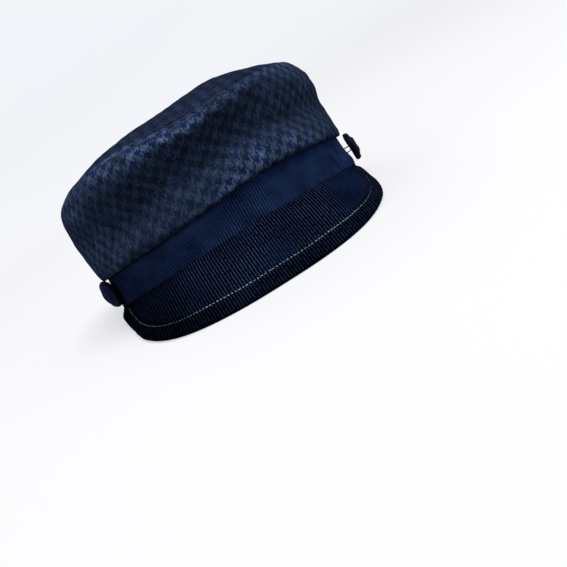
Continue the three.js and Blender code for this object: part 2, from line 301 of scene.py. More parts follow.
# %% Soft bumps
def bumps(points, size, seed, count=16):
    """Smooth bumps about size mm wide, mostly between -1 and 1."""
    draw = np.random.default_rng(seed)
    total = np.zeros(points.shape[:-1])
    for _ in range(count):
        way = unit(draw.normal(size=3)) * 2 * np.pi / (size * draw.uniform(0.8, 2.2))
        total += np.cos(points @ way + draw.uniform(0, 2 * np.pi))
    return total / math.sqrt(count)


def uneven(points, waves):
    """Several bumps at once. Each wave is a height and a width in mm, and a seed."""
    return sum(height * bumps(points, width, seed) for height, width, seed in waves)


# %% Shells and pieces
def grid_faces(columns, rows, closed=(False, False), first=0):
    """Quads of a grid whose points are numbered row by row within each column."""
    i = np.arange(columns if closed[0] else columns - 1)
    j = np.arange(rows if closed[1] else rows - 1)
    i, j = [a.ravel() for a in np.meshgrid(i, j, indexing="ij")]
    corners = ((i, j), (i + 1, j), (i + 1, j + 1), (i, j + 1))
    faces = np.stack([(a % columns) * rows + b % rows for a, b in corners], -1)
    wide = rows + 1 if closed[1] else rows
    in_map = np.stack([a * wide + b for a, b in corners], -1)
    return faces + first, in_map


def zip_end(loop):
    """Quads that close the end of a shell, from a loop whose two halves face each other.
    Where the loop has an odd number of points, one sliver at its fold stays open."""
    k = np.arange(len(loop) // 2 - 1)
    return np.stack([loop[k], loop[k + 1], loop[len(loop) - 2 - k], loop[len(loop) - 1 - k]], -1)


def make_piece(name, points, faces, uvs, material, slot, *nodes, **traits):
    """One mesh of the cap from points in mm and cloth coordinates at each face corner.
    traits are numbers for each point that the material reads, such as how rubbed it is and the light
    and shade painted on it."""
    vertices = (points + HEAD_CENTRE) * MM
    vertices[:, 2] = np.maximum(vertices[:, 2], 0)
    a, b, c, d = [vertices[faces[:, k]] for k in range(4)]
    inside_out = np.einsum("ij,ij->i", a, np.cross(b, c) + np.cross(c, d)).sum() < 0
    if inside_out:
        faces, uvs = faces[:, ::-1], uvs[:, ::-1]
    mesh = bpy.data.meshes.new(name)
    mesh.from_pydata(vertices.tolist(), [], faces.tolist())
    layer = mesh.uv_layers.new(name="cloth")
    layer.data.foreach_set("uv", uvs.reshape(-1).astype(np.float32))
    mesh.polygons.foreach_set("use_smooth", np.ones(len(faces), bool))
    mesh.materials.append(material)
    for trait, values in traits.items():
        kept = mesh.attributes.new(trait, "FLOAT", "POINT")
        kept.data.foreach_set("value", values.ravel().astype(np.float32))
    mesh.update()
    piece = bpy.data.objects.new(name, mesh)
    bpy.context.collection.objects.link(piece)
    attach(piece, "root")
    if nodes:
        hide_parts(*nodes)
    print(f"{name}: {len(vertices)} points, {2 * len(faces)} triangles")
    return piece


def piece_from_loops(name, loops, cloth, closed, material, slot, *nodes, **traits):
    """A shell whose columns are closed loops. cloth holds one more row, and one more
    column where the shell closes on itself."""
    columns, rows = loops.shape[:2]
    faces, in_map = grid_faces(columns, rows, (closed, True))
    uvs = cloth.reshape(-1, 2)[in_map]
    if not closed:
        start, end = np.arange(rows), np.arange(rows) + (columns - 1) * rows
        caps = np.concatenate([zip_end(start), zip_end(end)[:, ::-1]])
        flat = cloth[:, :rows].reshape(-1, 2)
        faces, uvs = np.concatenate([faces, caps]), np.concatenate([uvs, flat[caps]])
    return make_piece(
        name, loops.reshape(-1, 3), faces, uvs, material, slot, *nodes, **traits
    )


# %% [markdown]
# ## Colours and nodes
#
# The colours are the ones that a paint program shows (sRGB hex), and Blender works in
# linear light, so one function turns one into the other. One more function adds a node
# with its settings and its links, and two short ones begin and end a material. The
# materials below then read as what they are, a chain of nodes that ends in one shader.
# Inputs go by their name or number. A Map Range turns the range from 1 to 2 into the
# range from 3 to 4, and a Mix takes its amount at 0, two numbers at 2 and 3, or two
# colours at 6 and 7.

# %% Colours and nodes
def colour(code, alpha=1.0):
    """A hex colour as Blender's linear red, green, blue and alpha."""
    parts = [int(code[k : k + 2], 16) / 255 for k in (1, 3, 5)]
    return [p / 12.92 if p <= 0.04045 else ((p + 0.055) / 1.055) ** 2.4 for p in parts] + [alpha]


def add(tree, kind, into=None, stops=(), **settings):
    """Adds a node. into gives each input a value, an output, or a node whose first output
    it takes. stops are the places and colours of a colour ramp, the first two at its ends."""
    node = tree.nodes.new("ShaderNode" + kind)
    for name, value in settings.items():
        setattr(node, name, value)
    for place, value in (into or {}).items():
        if isinstance(value, bpy.types.Node):
            value = value.outputs[0]
        if isinstance(value, bpy.types.NodeSocket):
            tree.links.new(value, node.inputs[place])
        else:
            node.inputs[place].default_value = value
    for k, (position, code) in enumerate(stops):
        ramp = node.color_ramp.elements
        stop = ramp[k] if k < 2 else ramp.new(position)
        stop.position, stop.color = position, colour(code)
    return node


def new_tree(name):
    """A new material and its empty node tree."""
    material = bpy.data.materials.new(name)
    material.use_nodes = True
    material.node_tree.nodes.clear()
    return material, material.node_tree


def finish_material(material, tree, shader):
    """Ends the tree in one shader, which takes the values and links that shader gives."""
    main = add(tree, "BsdfPrincipled", shader)
    add(tree, "OutputMaterial", {0: main})
    return material


# %% [markdown]
# ## Check wool
#
# The crown is a brushed wool houndstooth, woven four dark yarns and four light yarns in
# turn, both ways, in a two-up two-down twill. Brushing raises a nap that blurs the
# check, so from a yard away it reads as soft grey-green stars on navy. Up close each
# yarn is a mix of dyed fibres, with indigo and purple among the navy.
#
# A picture of the cloth would be the usual way. Here the weave is worked out yarn by
# yarn: the warp and weft number of a point says which yarn is on top there, and the
# yarn's number says its colour. Eight yarns repeat in 7.2 mm one way and in 5.9 mm the
# other, so the yarns are 0.9 and 0.74 mm apart. The brushed fibres are finer than a
# pixel: they move each point of the check about by a fraction of a millimetre, and the
# eye mixes what is left. Wool is rough and matt, and its nap catches a little light at
# the rim, which is sheen.

# %% The houndstooth weave
WARP_PITCH, WEFT_PITCH = 0.9, 0.74
# How far the nap can push the edge of the check, in mm, and how many yarns it blurs.
NAP_REACH, NAP_BLUR = 1.4, 0.6


def yarn_numbers(tree, cloth, nap):
    """The warp and weft number of each point, after the nap has pushed it about."""
    push = add(tree, "VectorMath", {
        0: nap.outputs["Color"], 1: (2 * NAP_REACH,) * 3, 2: (-NAP_REACH,) * 3,
    }, operation="MULTIPLY_ADD")
    pushed = add(tree, "VectorMath", {0: cloth, 1: push}, operation="ADD")
    yarns = add(tree, "VectorMath", {
        0: pushed, 1: (1 / WARP_PITCH, 1 / WEFT_PITCH, 1.0),
    }, operation="MULTIPLY")
    return add(tree, "SeparateXYZ", {0: yarns}).outputs


def houndstooth(tree, warp, weft):
    """Where a light yarn is on top, and where the warp is. Four light yarns lie beside
    four dark ones, both ways, in a twill of two over two. The nap blurs each edge."""
    slant = add(tree, "Math", {0: warp, 1: weft}, operation="ADD")
    soft = []
    for place, middle, half in ((warp, 2.0, 2.0), (weft, 2.0, 2.0), (slant, 1.5, 1.0)):
        start = add(tree, "Math", {0: place, 1: middle}, operation="SUBTRACT")
        away = add(tree, "Math", {0: start, 1: 2 * half}, operation="PINGPONG")
        soft.append(add(tree, "MapRange", {
            0: away, 1: half - NAP_BLUR, 2: half + NAP_BLUR, 3: 1.0, 4: 0.0,
        }, interpolation_type="SMOOTHSTEP"))
    light_warp, light_weft, warp_up = soft
    return add(tree, "Mix", {0: warp_up, 2: light_weft, 3: light_warp}), warp_up


def yarn_relief(tree, warp, weft, warp_up, fibres):
    """Each yarn is round, and the loose nap lies over it."""
    round_yarns = []
    for place in (warp, weft):
        turned = add(tree, "Math", {0: place, 1: math.pi}, operation="MULTIPLY")
        swell = add(tree, "Math", {0: turned}, operation="SINE")
        round_yarns.append(add(tree, "Math", {0: swell}, operation="ABSOLUTE"))
    yarn_height = add(tree, "Mix", {0: warp_up, 2: round_yarns[1], 3: round_yarns[0]})
    height = add(tree, "Math", {0: fibres, 1: 3.0, 2: yarn_height}, operation="MULTIPLY_ADD")
    return add(tree, "Bump", {"Strength": 0.8, "Distance": 0.25 * MM, "Height": height})


print("one check of the wool is", 8 * WARP_PITCH, "by", round(8 * WEFT_PITCH, 2), "mm")

# %% Check wool material
# A tuft of nap, in mm across and along its lie.
TUFT_WIDTH, TUFT_LENGTH = 0.8, 2.0
WOOL_FLECKS = [(0.34, "#f4d2ff"), (0.68, "#e2f6d4"), (0.5, "#ffffff")]


def check_wool(name, lie, sheen, dark_dyes, light_dyes):
    """lie is the angle from the warp to the way that the nap lies."""
    material, tree = new_tree(name)
    cloth = add(tree, "UVMap", uv_map="cloth")
    brushed = add(tree, "Mapping", {
        "Vector": cloth, "Rotation": (0, 0, lie), "Scale": (TUFT_WIDTH, TUFT_LENGTH, 1.0),
    }, vector_type="TEXTURE")
    nap, fibres, hues = [
        add(tree, "TexNoise", {
            "Vector": brushed, "Scale": scale, "Detail": 4.0, "Roughness": rough,
        }, noise_dimensions="2D")
        for scale, rough in ((0.8, 0.65), (1.1, 0.65), (0.55, 0.7))
    ]
    warp, weft, _ = yarn_numbers(tree, cloth, nap)
    checked, warp_up = houndstooth(tree, warp, weft)
    # The check shows clearly where the nap is rubbed short and where light is painted on. Elsewhere
    # its colours mingle.
    worn_and_lit = add(tree, "Attribute", attribute_name="wear").outputs["Fac"]
    clear = add(tree, "MapRange", {0: worn_and_lit, 1: 0.9, 2: 1.6, 3: 0.5, 4: 1.0})
    is_light = add(tree, "Mix", {0: clear, 2: 0.4, 3: checked})

    # Dyed fibres of several colours are spun into each yarn and brushed out of it.
    dark, light = [
        add(tree, "ValToRGB", {0: fibres}, [(0.33, dyes[0]), (0.68, dyes[2]), (0.5, dyes[1])])
        for dyes in (dark_dyes, light_dyes)
    ]
    woven = add(tree, "Mix", {0: is_light, 6: dark, 7: light}, data_type="RGBA").outputs[2]
    # A few fibres are plum, a few are moss green, and they gather in small flecks.
    fleck = add(tree, "ValToRGB", {0: hues}, WOOL_FLECKS)
    flecked = add(
        tree, "Mix", {0: 1.0, 6: woven, 7: fleck}, data_type="RGBA", blend_type="MULTIPLY"
    ).outputs[2]
    # The nap is thicker in some places than in others. The colour is paler where hands have rubbed
    # it and where light is painted on.
    patches = add(tree, "TexNoise", {
        "Vector": cloth, "Scale": 0.13, "Detail": 3.0, "Roughness": 0.6,
    }, noise_dimensions="2D")
    thick = add(tree, "MapRange", {0: patches, 1: 0.3, 2: 0.7, 3: 0.7, 4: 1.3})
    how_light = add(tree, "Math", {0: thick, 1: worn_and_lit}, operation="MULTIPLY")
    return finish_material(material, tree, {
        "IOR": 1.5,
        "Specular IOR Level": 0.0,
        "Sheen Weight": sheen,
        "Sheen Roughness": 0.4,
        "Sheen Tint": colour("#8796b8"),
        "Base Color": add(tree, "VectorMath", {0: flecked, "Scale": how_light}, operation="SCALE"),
        "Roughness": add(tree, "MapRange", {0: fibres, 1: 0.2, 2: 0.8, 3: 0.98, 4: 0.82}),
        "Normal": yarn_relief(tree, warp, weft, warp_up, fibres),
    })


# The wall's warp runs at 45 degrees to its seams. The tip's nap lies from front to back. The tip's
# wool is a darker copy of the wall's, a painted shade.
wall_wool = check_wool(
    "brushed_houndstooth_wool", math.radians(45), 0.05,
    ("#0c1733", "#121f43", "#1a2c56"), ("#28394f", "#38495d", "#566170"),
)
tip_wool_painted_darker = check_wool(
    "brushed_houndstooth_wool_tip_painted_darker", math.radians(90), 0.0,
    ("#0c1325", "#111a33", "#1a2745"), ("#1c273a", "#29344a", "#475460"),
)
print("the crown's cloths:", wall_wool.name, "and", tip_wool_painted_darker.name)

# %% [markdown]
# ## Needlecord
#
# The band and the peak are covered with needlecord: cotton velvet whose pile stands in ribs, the
# wales, about fifteen to the inch. The pile is dyed navy. Its colour is painted near black in the
# grooves, a painted shade, and bluer up the flanks of a wale to its top. On the peak the pile is
# brushed towards the band, and the peak's material is a darker copy of the band's, a painted shade,
# though it is one cloth.
#
# The wales are modelled in the mesh. The material reads the wale number from the cloth's UV map,
# paints shade into the grooves and streaks the pile along each wale. It also scales the colour by
# the light and shade painted on each piece.

# %% Needlecord material
WALE = 1.65


def needlecord(name, sheen, flank_at, groove, flank, top, matted_pile):
    """flank_at is how high up a wale the colour of its flank lies, from 0 to 1."""
    material, tree = new_tree(name)
    cloth = add(tree, "UVMap", uv_map="cloth")
    wale = add(tree, "SeparateXYZ", {0: cloth})
    turned = add(tree, "Math", {0: wale, 1: math.pi}, operation="MULTIPLY")
    wave = add(tree, "Math", {0: turned}, operation="SINE")
    rib = add(tree, "Math", {0: wave}, operation="ABSOLUTE")
    # The pile is uneven along a wale, over a few millimetres.
    along = add(tree, "Mapping", {"Vector": cloth, "Scale": (1.5, 0.5, 1.0)})
    streaks = add(tree, "TexNoise", {
        "Vector": along, "Scale": 1.0, "Detail": 5.0, "Roughness": 0.7,
    }, noise_dimensions="2D")
    spread = add(tree, "MapRange", {0: streaks, 1: 0.25, 2: 0.75, 3: -0.3, 4: 0.3})
    height = add(tree, "Math", {0: rib, 1: spread}, operation="ADD")
    # Near black in the grooves is painted shade. The pile's navy shows up the flanks and on the
    # tops.
    pile = add(tree, "ValToRGB", {0: height}, [(0.25, groove), (1.0, top), (flank_at, flank)])
    # Where the pile is matted, its fibres lie over the grooves and the wales fade.
    lying = add(tree, "ValToRGB", {0: streaks}, [(0.3, flank), (0.72, matted_pile)])
    matted = add(tree, "Attribute", attribute_name="matted").outputs["Fac"]
    mixed = add(tree, "Mix", {0: matted, 6: pile, 7: lying}, data_type="RGBA").outputs[2]
    worn_and_lit = add(tree, "Attribute", attribute_name="wear").outputs["Fac"]
    return finish_material(material, tree, {
        "IOR": 1.5,
        "Specular IOR Level": 0.0,
        "Sheen Weight": sheen,
        "Sheen Roughness": 0.35,
        "Sheen Tint": colour("#7f8fd0"),
        "Base Color": add(tree, "VectorMath", {0: mixed, "Scale": worn_and_lit}, operation="SCALE"),
        "Roughness": add(tree, "MapRange", {0: streaks, 1: 0.2, 2: 0.8, 3: 0.95, 4: 0.75}),
        "Normal": add(tree, "Bump", {"Strength": 0.6, "Distance": 0.3 * MM, "Height": streaks}),
    })


band_material = needlecord("needlecord_band", 0.02, 0.66, "#091535", "#162645", "#2b3e66", "#233558")
# The peak's cord is a darker copy of the band's, a painted shade.
peak_material_painted_darker = needlecord("needlecord_peak_painted_darker", 0.01, 0.76, "#000005", "#03071a", "#242e42", "#0b1730")
print("a wale of the needlecord is", WALE, "mm wide")

# %% [markdown]
# ## Threads and button cloth
#
# The topstitch is a pale mint cotton-wrapped polyester thread, slightly glossy along
# its ply. The buttons hang on doubled navy thread. Their covers are offcuts of fine
# navy cotton twill, drawn tight, so only a fine speckle of the weave shows.

# %% Thread and button cloth materials
def sewing_thread(name, pale, deep):
    """pale is the colour on the ridges of the ply, deep the one between them, which is painted
    shade.
    """
    material, tree = new_tree(name)
    cloth = add(tree, "UVMap", uv_map="cloth")
    ply = add(tree, "TexWave", {
        "Vector": cloth, "Scale": 0.9, "Distortion": 1.5, "Detail": 2.0,
    }, bands_direction="DIAGONAL").outputs["Fac"]
    shown = add(tree, "Mix", {0: ply, 6: colour(deep), 7: colour(pale)}, data_type="RGBA")
    # Near the ends of the peak the pile closes over the thread.
    buried = add(tree, "Attribute", attribute_name="buried").outputs["Fac"]
    under_pile = add(tree, "Mix", {
        0: buried, 6: shown.outputs[2], 7: colour("#101a34"),
    }, data_type="RGBA")
    return finish_material(material, tree, {
        "IOR": 1.5,
        "Specular IOR Level": 0.12,
        "Sheen Weight": 0.05,
        "Sheen Roughness": 0.4,
        "Base Color": under_pile.outputs[2],
        "Roughness": add(tree, "MapRange", {0: ply, 3: 0.65, 4: 0.45}),
        "Normal": add(tree, "Bump", {"Strength": 0.6, "Distance": 0.1 * MM, "Height": ply}),
    })


def button_cotton():
    """Cotton twill, drawn tight over the button, with a speckle of its weave."""
    material, tree = new_tree("navy_cotton_twill")
    cloth = add(tree, "UVMap", uv_map="cloth")
    # Real twill lines are 0.4 mm apart. They are drawn 0.7 mm apart to show at all.
    twill = add(tree, "TexWave", {
        "Vector": cloth, "Scale": 0.45, "Distortion": 1.0, "Detail": 2.0, "Detail Scale": 2.0,
    }, bands_direction="DIAGONAL").outputs["Fac"]
    specks = add(tree, "TexNoise", {
        "Vector": cloth, "Scale": 1.1, "Detail": 3.0, "Roughness": 0.7,
    })
    weave = add(tree, "Math", {0: twill, 1: specks}, operation="MULTIPLY")
    # The colour runs from near black in the twill's hollows, a painted shade, to navy on its ridges,
    # broken by a random speckle.
    shown = add(tree, "ValToRGB", {0: weave}, [(0.1, "#010208"), (0.5, "#0e1c4a")])
    # The colour is scaled by the shade painted on each cover.
    worn_and_lit = add(tree, "Attribute", attribute_name="wear").outputs["Fac"]
    return finish_material(material, tree, {
        "IOR": 1.5,
        "Specular IOR Level": 0.06,
        "Sheen Weight": 0.03,
        "Sheen Roughness": 0.4,
        "Sheen Tint": colour("#6f7fb4"),
        "Base Color": add(tree, "VectorMath", {0: shown, "Scale": worn_and_lit}, operation="SCALE"),
        "Roughness": add(tree, "MapRange", {0: specks, 3: 0.95, 4: 0.7}),
        "Normal": add(tree, "Bump", {"Strength": 0.6, "Distance": 0.15 * MM, "Height": weave}),
    })


mint_thread = sewing_thread("mint_topstitch_thread", "#b9d6ce", "#6f9a94")
navy_thread = sewing_thread("navy_button_thread", "#6d7898", "#3a4462")
button_material = button_cotton()
print("materials:", [m.name for m in bpy.data.materials])

# %% [markdown]
# ## The crown wall
#
# The wall is two panels of wool cut on the bias, joined by seams behind the ears. It is
# sewn to the top of the band and blouses over it in a soft fold, and its upper edge is
# sewn to the tip. The seam allowances inside lift the cloth a little along each seam,
# and the stitches pull small puckers into it.
#
# A solidify modifier on a single sheet would be quick, but the two edges need their own
# shapes: a round fold below, and a mitre against the tip above. So each column of the
# wall is a closed loop: down the outer face, round the fold, up the inner face, and
# across the mitre at the seam.

# %% Shapes along the seams, in millimetres
SEAM_ROUND = 0.2
# Sewn pieces press into each other by a hair where they meet, at the tip seam and at
# the sides, so that no light comes through.
SEAM_PRESS, SIDE_OVERLAP = 0.05, 0.06
# From the tip seam to the fold, and to the middle of the tip, roughly.
WALL_TALL, TIP_REACH = 45, 90
FUZZ_WAVES = 24


def seam_lift(distance, height, far):
    """The swell over a seam allowance: none at the stitches, full at 2.5 mm, gone at far."""
    return height * smooth(distance, 0, 2.5) * (1 - smooth(distance, far * 0.6, far))


def puckers(run, distance, period, depth, reach):
    """Small pulls along a seam, run mm along it and distance mm away from it."""
    drift = 1.7 * np.sin(run / 31) + 1.1 * np.sin(run / 17 + 1)
    taut = 0.6 + 0.4 * np.sin(run / 23 + 2)
    return depth * taut * np.cos(2 * np.pi * run / period + drift) * np.exp(-distance / reach)


def seam_corner(point, angle, reach):
    """The corner of a piece at the tip seam, the foot of its rounding, and the far end of
    its mitre, where the two inner faces meet."""
    one = np.ones_like(angle)
    wall_out, tip_out = square_to(wall_point, angle, one), -square_to(tip_point, angle, one)
    meet = (wall_out * tip_out).sum(-1, keepdims=True)
    across = (wall_out + tip_out) * CLOTH_THICKNESS / (1 + meet)
    corner = point(angle, one + SEAM_PRESS / reach)
    return corner, corner - unit(across) * SEAM_ROUND, corner - across


def bend(start, corner, end, count):
    """Points of a soft corner, without its two ends."""
    t = np.linspace(0, 1, count + 2)[1:-1].reshape(1, -1, 1)
    start, corner, end = start[:, None], corner[:, None], end[:, None]
    return (1 - t) ** 2 * start + 2 * t * (1 - t) * corner + t * t * end


def round_edge(outer, inner, down):
    """The middle of a folded edge, and a half circle of points round it."""
    middle, radius = (outer[:, -1:] + inner[:, -1:]) / 2, (outer[:, -1:] - inner[:, -1:]) / 2
    turn = np.linspace(0, np.pi, 9)[1:-1].reshape(1, -1, 1)
    return middle, middle + np.cos(turn) * radius + np.sin(turn) * down


def down_cloth(loops):
    """How far down the cloth each row of the loops is, in mm, and back to the first row."""
    steps = np.linalg.norm(np.diff(loops, axis=1, append=loops[:, :1]), axis=-1)
    return np.append(0, np.cumsum(steps.mean(0)))


# %% How the wall's cloth swells and wears, and where light is painted on it
# Unevenness of the cloth: height, width, seed. Then its fuzz, of more and smaller waves.
WALL_BROAD, WALL_SMALL, WALL_FUZZ = (0.55, 30, 11), (0.22, 11, 12), (0.07, 4.5, 13)
WALL_UPRIGHT = np.array([1, 1, 1.8])
# Puckers at the tip seam and at the fold: how far apart, how deep, how far they reach.
SEAM_PUCKERS, FOLD_PUCKERS = (8.5, 0.14, 5), (15, 0.16, 8)
# Soft swells of the cloth: angle, height share, their spreads, height.
WALL_SWELLS = [(1.38, 0.42, 0.22, 0.25, 1.5), (-1.45, 0.15, 0.25, 0.14, 1.3)]
# Painted light, where the nap is also rubbed pale: angle, height share, their spreads, amount.
WALL_RUBS_AND_PAINTED_LIGHT = [
    (-0.42, 0.89, 0.12, 0.05, 1.3),
    (-0.2, 0.95, 0.18, 0.035, 1.2),
    (-1.15, 0.8, 0.3, 0.1, 0.4),
    (0.35, 0.22, 0.2, 0.08, 0.5),
    (0.1, 0.12, 0.16, 0.08, 0.5),
    (-1.15, 0.2, 0.3, 0.2, 0.4),
    (1.1, 0.58, 0.25, 0.15, 0.7),
    (0.7, 0.58, 0.15, 0.1, 0.4),
    (1.0, 0.88, 0.2, 0.1, 0.3),
]
RUB_PATCHES = (0.5, 18, 14)
# The wall's colour level where no light is painted and the nap is not rubbed.
BASE_WOOL_TONE = 0.93


def wall_wave(points, run, from_seam, from_fold, from_end):
    """How far the cloth stands out from its plain form."""
    wave = uneven(points * WALL_UPRIGHT, [WALL_BROAD]) + uneven(points, [WALL_SMALL])
    wave = wave * smooth(from_seam, 0, 12) * smooth(from_fold, 0, 5)
    height, width, seed = WALL_FUZZ
    wave = wave + height * bumps(points, width, seed, FUZZ_WAVES)
    wave = wave + seam_lift(from_seam, 0.3, 9) + seam_lift(from_end, 0.3, 8)
    wave = wave + puckers(run, from_seam, *SEAM_PUCKERS)
    return wave + puckers(run + 3, from_fold, *FOLD_PUCKERS)


def wall_wear(points, angles, shares, from_seam, from_fold):
    """Painted light on the wall where hands also rub the nap: a painted highlight along the seam,
    strongest left of the front, painted light along the fold on the right, and spots between them.
    """
    on_left = 0.5 + 0.5 * bell(turns_apart(angles, -0.3) / 0.5)
    at_seam = 0.55 * bell((from_seam - 3) / 3.5) * on_left
    at_fold = 0.6 * bell((from_fold - 6) / 6) * smooth(np.sin(angles), -0.3, 0.5)
    rubbed = np.maximum(at_seam, at_fold) * np.maximum(np.cos(angles), 0.3)
    rubbed = rubbed + spots(WALL_RUBS_AND_PAINTED_LIGHT, angles, shares)
    return BASE_WOOL_TONE + rubbed * np.clip(1 + uneven(points, [RUB_PATCHES]), 0, 1.3)


# These places are painted light, where the nap is also rubbed pale.
print("the wall is rubbed pale in", len(WALL_RUBS_AND_PAINTED_LIGHT), "places besides its seam and its fold")


# %% The two wall panels
WALL_STEP, WALL_LINES = 0.85, 54
# The outer face lies between these height shares. The soft edges take up the rest.
WALL_TOP, WALL_FOOT = 0.982, 0.022
# How far the cloth's edges at the side seams are rounded off, in mm.
SIDE_ROUND = 0.9
# The wall leans, so it is a little longer down the cloth than it is high.
WALL_SLOPE = 1.02
BEND_POINTS = 4


def wall_panel(name, start, end, node):
    """One panel of the wall, from one side seam to the other."""
    overlap = SIDE_OVERLAP / BAND_HALF_WIDTH
    length = even_angles(8, start, end)[1]
    angles = even_angles(int(length / WALL_STEP), start - overlap, end + overlap)[0][:, None]
    run = np.linspace(0, length, len(angles))[:, None]
    shares = np.linspace(WALL_TOP, WALL_FOOT, WALL_LINES)[None]
    points = wall_point(angles, shares)
    out = square_to(wall_point, angles, np.broadcast_to(shares, points.shape[:2]))
    tall = (seam_height(angles) - fold_height(angles)) * WALL_SLOPE
    from_seam, from_fold = (1 - shares) * tall, shares * tall
    from_end = np.minimum(run, length - run)

    wave = wall_wave(points, run, from_seam, from_fold, from_end)
    wave = wave + spots(WALL_SWELLS, angles, shares)
    near_end = np.maximum(SIDE_ROUND - from_end, 0)
    sunk = SIDE_ROUND - np.sqrt(np.maximum(SIDE_ROUND ** 2 - near_end ** 2, 0))
    outer = points + out * (wave - sunk)[..., None]
    inner = points + out * (wave - CLOTH_THICKNESS)[..., None]
    corner, foot, deep = seam_corner(wall_point, angles[:, 0], WALL_TALL)
    top = bend(outer[:, 0], corner, foot, BEND_POINTS)
    down = unit(points[:, -1:] - points[:, -3:-2]) * CLOTH_THICKNESS / 2
    fold = round_edge(outer, inner, down)[1]
    loops = np.concatenate([
        foot[:, None], top[:, ::-1], outer, fold, inner[:, ::-1],
        mix(inner[:, :1], deep[:, None], 0.5), deep[:, None],
    ], axis=1)
    if loops.shape[1] % 2:
        loops = np.concatenate([loops, mix(loops[:, -1:], loops[:, :1], 0.5)], axis=1)

    wear = np.ones(loops.shape[:2])
    first = BEND_POINTS + 1
    worn_and_lit = wall_wear(points, angles, shares, from_seam, from_fold)
    wear[:, first : first + WALL_LINES] = worn_and_lit
    # The cloth is cut on the bias, so its yarns run at 45 degrees to the seams.
    along, fall = np.broadcast_arrays(run, down_cloth(loops)[None])
    cloth = np.stack([along - fall, along + fall], -1) * math.sqrt(0.5)
    return piece_from_loops(name, loops, cloth, False, wall_wool, "crown_wool", node, wear=wear)


wall_panel("wall_front_panel", -SIDE_SEAM_ANGLE, SIDE_SEAM_ANGLE, "crown_wall_front")
wall_panel("wall_back_panel", SIDE_SEAM_ANGLE, 2 * math.pi - SIDE_SEAM_ANGLE, "crown_wall_back")

# %% [markdown]
# ## The tip
#
# The tip is one oval of wool on the straight grain, slack enough to sink at the back
# and to stand up over the front seam. A disc made of rings would bunch its points in the
# middle and show as a star in the shading. A square grid pressed into a disc keeps its
# cells much the same size everywhere, and its border still runs along the seam.

# %% The tip panel
TIP_CELLS, TIP_RADIUS = 150, 92
# Unevenness of the cloth, as for the wall: height, width, seed.
TIP_BROAD, TIP_SMALL, TIP_FUZZ = (0.5, 42, 5), (0.22, 15, 6), (0.12, 5.5, 7)
TIP_FLAT = np.array([1, 1, 0.3])
TIP_PUCKERS = (9.5, 0.14, 5)
# Small slack places of the cloth: x, y, spread, depth.
TIP_FOLDS = [(-6, -11, 13, -1.4), (50, -38, 15, -1.3), (70, -44, 12, -0.7), (26, -29, 9, 0.5)]
# The tip's colour level where no light is painted and the nap is not rubbed.
BASE_TIP_TONE = 0.88
# Keeps the tip's cloth coordinates above nought, in mm.
TIP_CLOTH_START = 400


def tip_wave(points, run, from_seam):
    """How far the tip's cloth stands out from its plain form."""
    wave = uneven(points * TIP_FLAT, [TIP_BROAD]) + uneven(points, [TIP_SMALL])
    height, width, seed = TIP_FUZZ
    wave = wave * smooth(from_seam, 0, 14) + height * bumps(points, width, seed, FUZZ_WAVES)
    wave = wave + seam_lift(from_seam, 0.35, 9) + puckers(run, from_seam, *TIP_PUCKERS)
    for at_x, at_y, spread, depth in TIP_FOLDS:
        away = np.hypot(points[..., 0] - at_x, points[..., 1] - at_y)
        wave = wave + depth * bell(away / spread)
    return wave


def tip_wear(angle, from_seam):
    """Painted light near the seam, where the nap is also rubbed: a painted highlight strongest at
    the left of the front and on its left corner, and painted shade at the right of the front.
    """
    rubbed = 0.2 + 1.1 * bell(turns_apart(angle, -0.3) / 0.45)
    rubbed = rubbed - 0.5 * bell(turns_apart(angle, 0.5) / 0.15)
    corner = 1.1 * bell(turns_apart(angle, -0.72) / 0.25) * bell((from_seam - 6) / 5)
    return BASE_TIP_TONE + rubbed * bell((from_seam - 2.5) / 3) + corner


